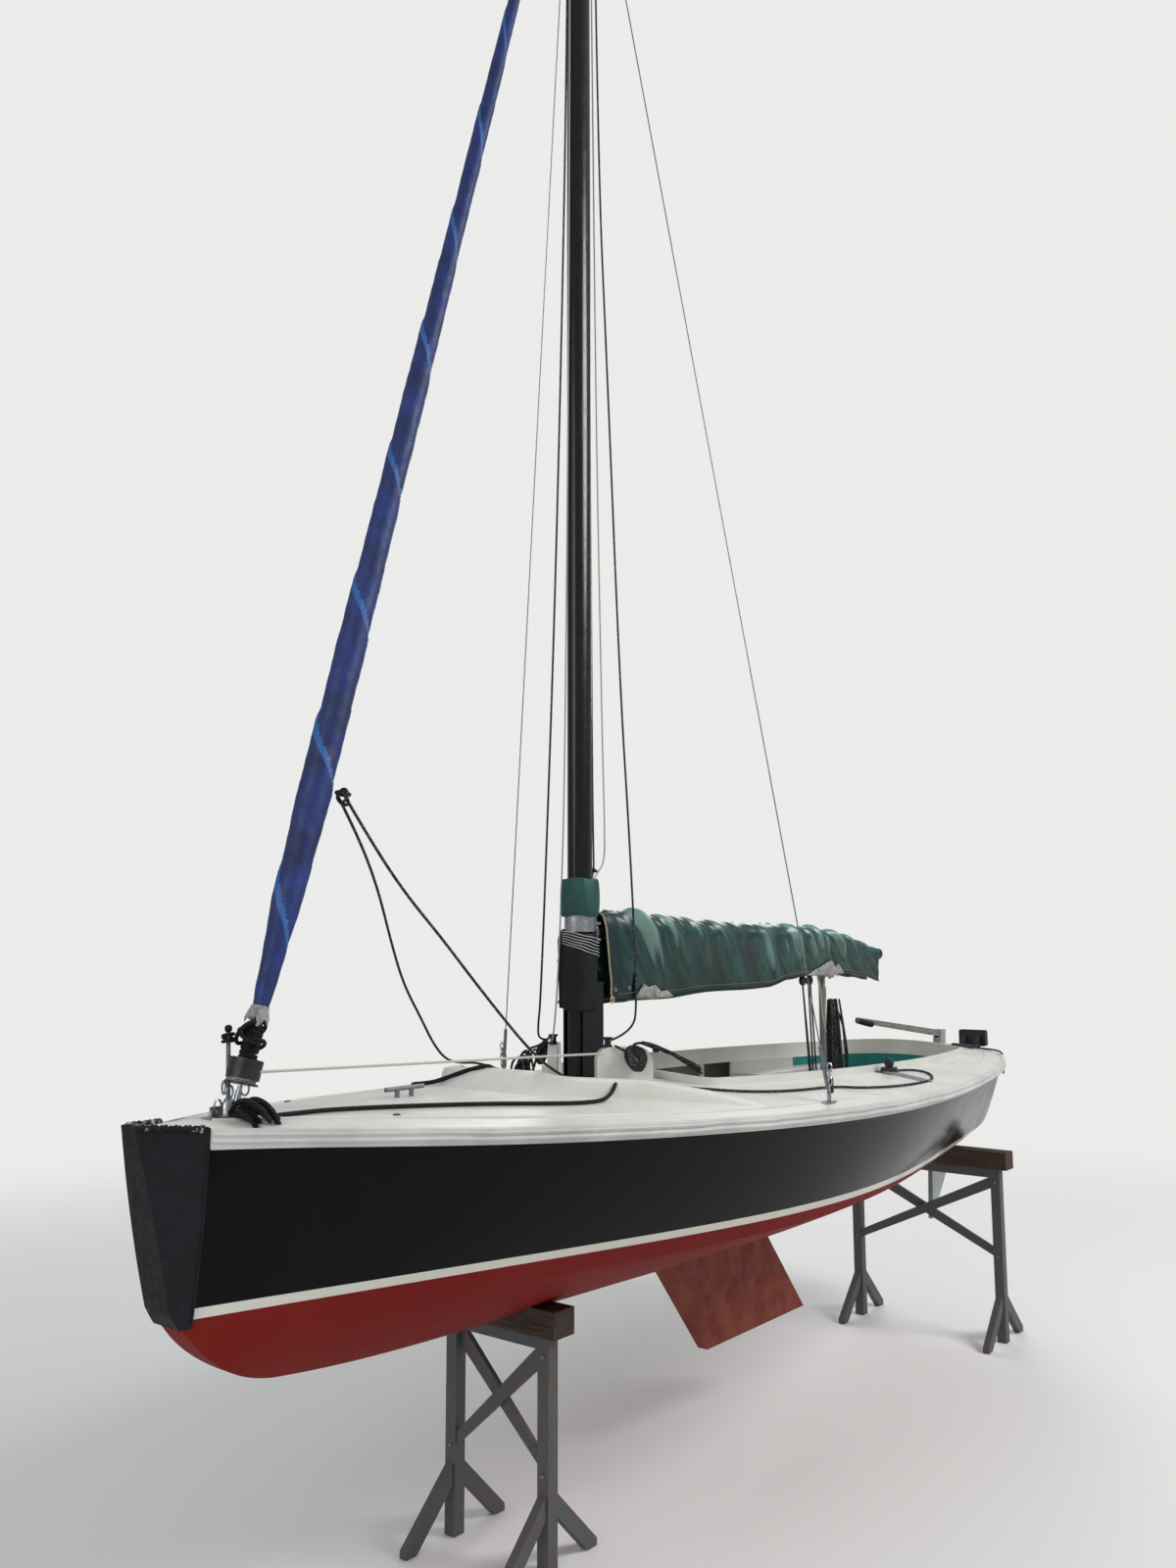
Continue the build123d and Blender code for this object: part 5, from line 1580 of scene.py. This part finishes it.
@dataclass
class DeckGear:
    """Cleat, halyard plates, winches, tack rod, small plates and the ropes that lie about."""

    sheet_radius: float = 0.0062
    bundle_radius: float = 0.0085
    stub_radius: float = 0.010

    def build(self, ground: Ground) -> None:
        """Dress the deck gear.

        Args:
            ground: The deck's surface.
        """
        smooth_copy("bow_cleat", GALVANISED, Body.HULL, 40)
        for side in ("port", "starboard"):
            smooth_copy(f"halyard_plate_{side}", DECK_GELCOAT, Body.HULL, 35)
            smooth_copy(f"winch_{side}", BLACK_NYLON, Body.HULL, 35)
        self.plates(ground)
        self.bow_hardware(ground)
        self.sheets(ground)
        self.ropes(ground)

    def lying(self, ground: Ground, line: Sequence[tuple[float, float]], radius: float) -> list[Point]:
        """Points of a rope that lies on the deck.

        Args:
            ground: Surface that it lies on.
            line: Places along and across the boat.
            radius: The rope's radius.

        Returns:
            The same places at the rope's height.
        """
        return [(x, y, ground.height(x, y) + radius + 0.001) for x, y in line]

    def plates(self, ground: Ground) -> None:
        """Small deck plates, two of them black discs that stand for the painted shade of a small hole, and the sheet
        cars on their tracks.
        """
        parts = []
        # The pair at 2.40 forward: black discs in place of a small dark hole in the deck, as painted shade.
        for x, y, half in ((2.40, 0.31, 0.014), (2.40, -0.31, 0.014), (-0.66, 0.70, 0.022), (-0.66, -0.70, 0.022)):
            z = ground.height(x, y)
            parts.append(turned("plate", (x, y, z - 0.004), (0.02, 0.05, 1),
                                ((0, half), (0.006, half), (0.008, half * 0.8)), 28))
        for hand in Hand:
            z = ground.height(-0.68, hand.value * 0.76)
            parts.append(bar("car", (-0.712, hand.value * 0.755 - 0.035, z - 0.002),
                             (-0.648, hand.value * 0.755 + 0.035, z + 0.020), 0.005))
            parts.append(turned("sheave", (-0.695, hand.value * 0.755, z + 0.040), (1, 0, 0),
                                ((0, 0.020), (0.005, 0.024), (0.022, 0.024), (0.027, 0.020)), 24))
        settle(joined("deck_plates", parts), BLACK_NYLON, Body.HULL)

    def bow_hardware(self, ground: Ground) -> None:
        """Shackles on the stem fitting, tack rod with its knob, and the wire bail."""
        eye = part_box("stem_fitting")[1]
        rings = []
        for x, y, z, lean in ((eye.x - 0.045, 0.0, eye.z - 0.018, 0.2), (eye.x - 0.02, 0.0, eye.z - 0.05, 0.9),
                              (2.892, -0.030, 2.035, 1.3), (2.880, -0.012, 2.020, 0.3), (2.842, 0.020, 2.030, 1.9)):
            wide = (0.017 * math.cos(lean), 0.017 * math.sin(lean), 0)
            rings.append(hoop("shackle", (x, y, z), wide, (0, 0, 0.022), 0.0038))
        foot = ground.height(2.860, -0.05)
        for dy in (-0.028, 0.022):
            bail = [(2.875, -0.05 + dy, foot - 0.003), (2.872, -0.05 + 0.8 * dy, foot + 0.03),
                    (2.862, -0.05, foot + 0.062)]
            rings.append(tube("bail", spline(bail), 0.0036, 8))
        settle(joined("bow_shackles", rings), STAINLESS, Body.HULL)
        settle(tube("tack_rod", [(2.856, -0.05, foot - 0.003), (2.860, -0.05, foot + 0.10), (2.867, -0.05, 2.228)],
                    0.0078, 12), GALVANISED, Body.HULL)
        knob = [turned("knob", (2.867, -0.05, 2.222), (0, 0, 1), ((0, 0.009), (0.006, 0.013), (0.018, 0.013),
                                                                  (0.024, 0.007)), 16)]
        for drop, lean in ((0.0, 0.3), (0.012, -0.4), (0.022, 0.15)):
            knob.append(hoop("turn", (2.867, -0.05, 2.212 - drop), (0.016, 0, 0), (0, 0.022, 0.016 * lean),
                             0.0058, 18))
        settle(joined("rod_knob", knob), BLACK_LAID, Body.HULL, 60)

    def sheets(self, ground: Ground) -> None:
        """Jib sheets from the clew: one slack to the starboard side stay, one to the foredeck and on to port."""
        r = self.sheet_radius
        low = ground.height(0.46, -0.97)
        runs = (("jib_sheet_slack", ((2.429, -0.010, 3.080), (2.224, -0.136, 2.960), (1.938, -0.334, 2.769),
                                     (1.643, -0.560, 2.520), (1.433, -0.703, 2.335), (1.213, -0.810, 2.162),
                                     (1.070, -0.879, 2.041), (0.945, -0.920, 1.950), (0.83, -0.936, 1.916),
                                     (0.66, -0.94, 1.908), (0.46, -0.975, low + 0.03))),
                ("jib_sheet_led", ((2.413, 0.008, 3.085), (2.238, -0.030, 2.918), (2.031, -0.062, 2.732),
                                   (1.809, -0.078, 2.556), (1.600, -0.085, 2.369), (1.400, -0.080, 2.187),
                                   (1.290, -0.062, 2.080), (1.210, -0.030, 2.000), (1.150, 0.020, 1.944),
                                   (1.113, 0.070, ground.height(1.113, 0.07) + r))))
        for name, route in runs:
            path = spline(route)
            bend(tube(name, path, r, 8), BLACK_BRAID, Body.HULL, Body.FURLER, path[len(path) // 2], path[0])
        knots = [hoop("knot", (2.420, 0, 3.088 + lean), (0.026 * math.cos(tilt), 0, 0.026 * math.sin(tilt)),
                      (0, 0.026, 0), 0.0068, 18) for tilt, lean in ((0.2, 0.012), (0.9, -0.010), (1.7, 0.004))]
        settle(joined("clew_knot", knots), BLACK_BRAID, Body.FURLER, 80)
        line = tube("furling_line", spline([(2.812, 0.046, 2.086), (2.4, 0.10, 2.076), (1.9, 0.135, 2.062),
                                            (1.4, 0.165, 2.048), (1.035, 0.176, 2.034)], 10), 0.0050, 8)
        settle(line, PALE_BRAID, Body.HULL, 80)

    def ropes(self, ground: Ground) -> None:
        """Ropes that lie on the deck."""
        r = self.sheet_radius
        Rope("sheet_tail_port", tuple(self.lying(ground, (
            (1.113, 0.085), (1.122, 0.187), (1.116, 0.329), (1.018, 0.400), (0.915, 0.460), (0.80, 0.56),
            (0.66, 0.70), (0.40, 0.79), (0.074, 0.822), (-0.053, 0.905), (-0.326, 0.965), (-0.709, 0.973),
            (-0.919, 0.894), (-0.99, 0.80), (-0.88, 0.735), (-0.76, 0.745)), r)), 2 * r, BLACK_BRAID).build()
        r = self.bundle_radius
        Rope("foredeck_rope", tuple(self.lying(ground, (
            (2.83, 0.125), (2.715, 0.132), (2.556, 0.15), (2.268, 0.247), (1.966, 0.36), (1.745, 0.467),
            (1.575, 0.527), (1.421, 0.517), (1.300, 0.470), (1.20, 0.36), (1.16, 0.26)), r)), 2 * r,
             BLACK_LAID).build()
        r = self.stub_radius
        Rope("breakwater_rope", tuple(self.lying(ground, (
            (1.60, -0.46), (1.59, -0.36), (1.575, -0.28), (1.56, -0.20), (1.53, -0.13), (1.48, -0.09),
            (1.42, -0.06), (1.34, -0.05)), r)), 2 * r, BLACK_CANVAS).build()
        self.bow_bundle(ground)
        self.stern_bundle(ground)
        for hand in Hand:
            self.coil(hand)
        self.heap(ground)
        self.shroud_feet()

    def bow_bundle(self, ground: Ground) -> None:
        """Rope hitched in a bundle at the stem, with loops over the rail."""
        r = self.bundle_radius
        z = ground.height(2.86, 0.08) + r
        rail = ground.height(2.88, 0.17) + r
        rng = random.Random(5)
        route = [(2.900, 0.010, z + 0.012)]
        for k in range(7):
            layer, x = 0.019 * (k % 3), 2.836 + 0.014 * k
            out = 0.135 + 0.075 * rng.random()
            route += [(x, 0.030 + 0.02 * rng.random(), z + 0.004 + layer), (x - 0.006, 0.09, z + 0.010 + layer),
                      (x - 0.010, out, rail + 0.004 + layer), (x - 0.004, out + 0.026, rail - 0.018 + layer),
                      (x + 0.012, out + 0.004, rail + 0.022 + layer), (x + 0.010, 0.10, z + 0.030 + layer)]
        Rope("bow_rope", tuple(route), 2 * r, BLACK_LAID, far_end="knot", lay="coiled").build()

    def stern_bundle(self, ground: Ground) -> None:
        """Rope in a loose bundle beside the motor bracket, with its end over the rail."""
        r = self.sheet_radius
        rng = random.Random(12)
        line = [(-2.52, 0.10), (-2.62, 0.17)]
        for _ in range(6):
            line += [(-2.70 + 0.03 * rng.random(), 0.22 + 0.03 * rng.random()), (-2.82, 0.33 + 0.03 * rng.random()),
                     (-2.90 + 0.02 * rng.random(), 0.39 + 0.02 * rng.random()), (-2.80, 0.29 + 0.04 * rng.random())]
        route = [(x, y, ground.height(x, y) + r + 0.014 * rng.random() + (0.006 if i > 8 else 0))
                 for i, (x, y) in enumerate(line)]
        top = ground.height(-2.86, 0.42) + r
        side = ground.beside(-2.86, top - 0.05, Hand.PORT) + r + 0.002
        route += [(-2.87, 0.40, top + 0.010), (-2.865, side - 0.035, top + 0.004), (-2.862, side, top - 0.015),
                  (-2.860, side + 0.002, top - 0.07), (-2.858, side + 0.002, top - 0.15)]
        Rope("stern_rope", tuple(route), 2 * r, BLACK_BRAID, lay="hanging").build()

    def coil(self, hand: Hand) -> None:
        """Halyard tail hung in a full oval coil on a plate, its end trailing aft.

        Args:
            hand: Side of the plate.
        """
        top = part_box(f"halyard_plate_{hand.name.lower()}")[1].z
        route = [(0.975, 0.200, top + 0.008)]
        for k in range(8):
            lane, out = (k % 4 if k < 4 else 3 - k % 4), 0.014 * (k // 4)
            wide, sag = 0.014 + 0.013 * lane, 0.075 + 0.014 * lane
            route += [(0.922, 0.250 + out, top - 0.030 + 0.013 * lane),
                      (0.922 - wide * 0.8, 0.280 + out, top - 0.034 + 0.008 * lane),
                      (0.920 - wide, 0.292 + out, top - 0.060), (0.918, 0.288 + out, top - sag),
                      (0.920 + wide, 0.262 + out, top - 0.060), (0.920 + wide * 0.8, 0.250 + out,
                                                                 top - 0.034 + 0.008 * lane)]
        if hand is Hand.PORT:
            for k in range(3):
                dip = 0.010 * k
                route += [(0.900, 0.250 + dip, top + 0.024), (0.800, 0.315 + dip, top + 0.002 - dip),
                          (0.690, 0.400 + 2 * dip, top - 0.075), (0.640, 0.440 + dip, top - 0.118),
                          (0.680, 0.418 + dip, top - 0.085), (0.800, 0.330 + dip, top - 0.008)]
        route += [(0.895, 0.262, top + 0.026), (0.80, 0.32, top + 0.004), (0.69, 0.39, top - 0.08),
                  (0.62, 0.44, top - 0.13)]
        Rope(f"halyard_coil_{hand.name.lower()}", tuple((x, hand.value * y, z) for x, y, z in route), 0.012,
             BLACK_BRAID, lay="hanging").build()

    def heap(self, ground: Ground) -> None:
        """Halyard tail heaped on the deck ahead of the starboard plate."""
        rng = random.Random(17)
        route = [(1.045, -0.175, 2.062)]
        for k in range(9):
            x, y = 1.070 + 0.0125 * k, -0.215 + 0.030 * math.sin(1.9 * k)
            low = ground.height(x, y) + 0.010
            route += [(x, y + 0.024, 2.050 - 0.006 * k), (x + 0.004, y - 0.020, 2.040 - 0.008 * k),
                      (x + 0.006, y - 0.034, low + 0.03 * rng.random()), (x + 0.010, y + 0.012, low + 0.005)]
        route += [(x, y, ground.height(x, y) + 0.007) for x, y in ((1.23, -0.17), (1.28, -0.11), (1.34, -0.05),
                                                                   (1.40, 0.0), (1.44, 0.05))]
        Rope("halyard_heap", tuple(route), 0.011, BLACK_BRAID, lay="coiled").build()

    def shroud_feet(self) -> None:
        """Links and the dark pin at the foot of each side stay."""
        for hand in Hand:
            low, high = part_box(f"shroud_{hand.name.lower()}")
            y = high.y if hand is Hand.PORT else low.y
            links = []
            for k in range(4):
                lean = 0.3 + 1.3 * (k % 2)
                links.append(hoop("link", (low.x + 0.012, y + hand.value * 0.002, low.z + 0.030 + 0.030 * k),
                                  (0.011 * math.cos(lean), 0.011 * math.sin(lean), 0), (0, 0, 0.020), 0.0036))
            settle(joined(f"shroud_links_{hand.name.lower()}", links), STAINLESS, Body.HULL)
            settle(bar(f"shroud_pin_{hand.name.lower()}", (low.x - 0.016, y - 0.008, low.z + 0.006),
                       (low.x + 0.002, y + 0.008, low.z + 0.075), 0.004), BLACK_NYLON, Body.HULL)


@dataclass
class Stern:
    """Rudder, tiller and motor bracket."""

    def build(self) -> None:
        """Dress the stern."""
        smooth_copy("rudder_blade", BLADE_PAINT, Body.RUDDER, 30)
        smooth_copy("rudder_head", BLADE_PAINT, Body.RUDDER, 30)
        paint_nodes(("tiller",), TILLER_WOOD)
        paint_nodes(("gudgeons", "pintles"), STAINLESS)
        smooth_copy("motor_bracket", BLACK_NYLON, Body.HULL, 30)
        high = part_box("tiller")[1]
        settle(tube("tiller_grip", [(high.x - 0.20, 0, high.z - 0.052), (high.x - 0.1, 0, high.z - 0.035),
                                    (high.x - 0.004, 0, high.z - 0.02)], [0.020, 0.021, 0.018], 16),
               BLACK_CANVAS, Body.RUDDER)


@dataclass
class Trestles:
    """Steel trestles with their timber."""

    bolt_radius: float = 0.009

    def build(self) -> None:
        """Dress the trestles."""
        paint_nodes(("trestle_fore", "trestle_aft"), TRESTLE_ENAMEL)
        smooth_copy("baulk_fore", BAULK_WOOD, Body.HULL, 30)
        smooth_copy("baulk_aft", BAULK_WOOD, Body.HULL, 30)
        self.bolts()

    def bolts(self) -> None:
        """Bolt heads where the braces meet the posts."""
        heads = []
        for node in ("trestle_fore", "trestle_aft"):
            low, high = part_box(node)
            x = (low.x + high.x) / 2
            for y in (low.y + 0.03, high.y - 0.03):
                for z in (high.z - 0.085, high.z - 0.55):
                    for hand in (1, -1):
                        heads.append(turned("head", (x + hand * 0.029, y, z), (hand, 0, 0),
                                            ((0, self.bolt_radius), (0.006, self.bolt_radius),
                                             (0.008, self.bolt_radius * 0.7)), 6))
        settle(joined("trestle_bolts", heads), GALVANISED, Body.HULL)


@dataclass
class Studio:
    """Floor, soft light and the camera."""

    spot: Point = (5.520, 3.690, 2.518)
    yaw: float = 38.6875
    pitch: float = 7.4353
    roll: float = -0.1593
    lens: float = 37.9065
    floor_tone: str = "#eae9e6"
    backdrop_tone: str = "#f1f1ef"
    card_strength: float = 0.95
    sky_tone: str = "#e9edf2"
    sky_strength: float = 0.5
    fade: tuple[float, float] = (3.5, 12.0)
    lamps: tuple[tuple[str, Point, float, float], ...] = (
        ("key", (-3.5, 8.0, 9.0), 5.0, 760.0), ("fill", (9.0, 1.0, 6.0), 6.0, 200.0),
        ("rear", (-8.0, -5.0, 8.0), 6.0, 260.0))

    def build(self) -> None:
        """Set up the studio."""
        self.floor()
        self.light()
        self.camera()

    def floor(self) -> None:
        """Wide pale floor."""
        reach = 60.0
        plane = mesh_piece("studio_floor", [(-reach, -reach, -0.002), (reach, -reach, -0.002), (reach, reach, -0.002),
                                            (-reach, reach, -0.002)], [(0, 1, 2, 3)])
        material = bpy.data.materials.new("studio_floor")
        material.use_nodes = True
        tree = material.node_tree
        tree.nodes.clear()
        place = add_node(tree, "ShaderNodeTexCoord").outputs["Object"]
        away = add_node(tree, "ShaderNodeVectorMath", {0: place}, operation="LENGTH")
        share = add_node(tree, "ShaderNodeMapRange", {"Value": away.outputs["Value"], "From Min": self.fade[0],
                                                      "From Max": self.fade[1]}, interpolation_type="SMOOTHERSTEP")
        seen = add_node(tree, "ShaderNodeMath", {0: share.outputs["Result"],
                                                 1: add_node(tree, "ShaderNodeLightPath").outputs["Is Camera Ray"]},
                        operation="MULTIPLY")
        matt = add_node(tree, "ShaderNodeBsdfPrincipled", {"Base Color": linear(self.floor_tone), "Roughness": 0.85})
        card = add_node(tree, "ShaderNodeEmission", {"Color": linear(self.backdrop_tone),
                                                     "Strength": self.card_strength})
        mixed = add_node(tree, "ShaderNodeMixShader", {"Fac": seen.outputs[0], 1: matt.outputs[0],
                                                       2: card.outputs[0]})
        add_node(tree, "ShaderNodeOutputMaterial", {"Surface": mixed.outputs[0]})
        plane.data.materials.append(material)

    def light(self) -> None:
        """World light and large soft lamps."""
        world = bpy.data.worlds.new("studio")
        bpy.context.scene.world = world
        world.use_nodes = True
        tree = world.node_tree
        tree.nodes.clear()
        rays = add_node(tree, "ShaderNodeLightPath")
        sky = add_node(tree, "ShaderNodeBackground", {"Color": linear(self.sky_tone), "Strength": self.sky_strength})
        card = add_node(tree, "ShaderNodeBackground", {"Color": linear(self.backdrop_tone),
                                                       "Strength": self.card_strength})
        mixed = add_node(tree, "ShaderNodeMixShader", {"Fac": rays.outputs["Is Camera Ray"], 1: sky.outputs[0],
                                                       2: card.outputs[0]})
        add_node(tree, "ShaderNodeOutputWorld", {"Surface": mixed.outputs[0]})
        for name, spot, size, power in self.lamps:
            lamp = bpy.data.lights.new(name, "AREA")
            lamp.shape = "DISK"
            lamp.size = size
            lamp.energy = power
            holder = linked(name, lamp)
            holder.location = spot
            holder.rotation_euler = (Vector((0, 0, 1.6)) - Vector(spot)).to_track_quat("-Z", "Y").to_euler()

    def camera(self) -> None:
        """Camera where the photograph was taken from, with its lens."""
        yaw, pitch, roll = (math.radians(a) for a in (self.yaw, self.pitch, self.roll))
        ahead = Vector((-math.cos(yaw) * math.cos(pitch), -math.sin(yaw) * math.cos(pitch), math.sin(pitch)))
        level = Vector((-math.sin(yaw), math.cos(yaw), 0))
        above = level.cross(ahead)
        right = level * math.cos(roll) + above * math.sin(roll)
        top = above * math.cos(roll) - level * math.sin(roll)
        data = bpy.data.cameras.new("camera")
        data.sensor_fit = "HORIZONTAL"
        data.sensor_width = 36.0
        data.lens = self.lens
        data.clip_end = 200.0
        holder = linked("camera", data)
        turn = Matrix((right, top, -ahead)).transposed()
        holder.matrix_world = Matrix.Translation(Vector(self.spot)) @ turn.to_4x4()
        bpy.context.scene.camera = holder


def main() -> None:
    """Build the sub-assemblies in order."""
    logging.basicConfig(level=logging.INFO, format="%(name)s: %(message)s")
    bpy.context.scene.view_settings.view_transform = "Standard"
    for extra in [o for o in bpy.data.objects if o.name in ("Cube", "Light", "Camera")]:
        bpy.data.objects.remove(extra)
    Studio().build()
    ridge = Hull().build()
    ground = Ground(("deck", "rub_rail", "cockpit_lip", "halyard_plate_port", "halyard_plate_starboard",
                     "sheet_tracks"), (ridge,))
    DeckGear().build(ground)
    Cockpit().build()
    Rig().build()
    Furler().build()
    BoomCover().build()
    Mainsheet().build()
    Stern().build()
    Trestles().build()


if __name__ == "__main__":
    main()
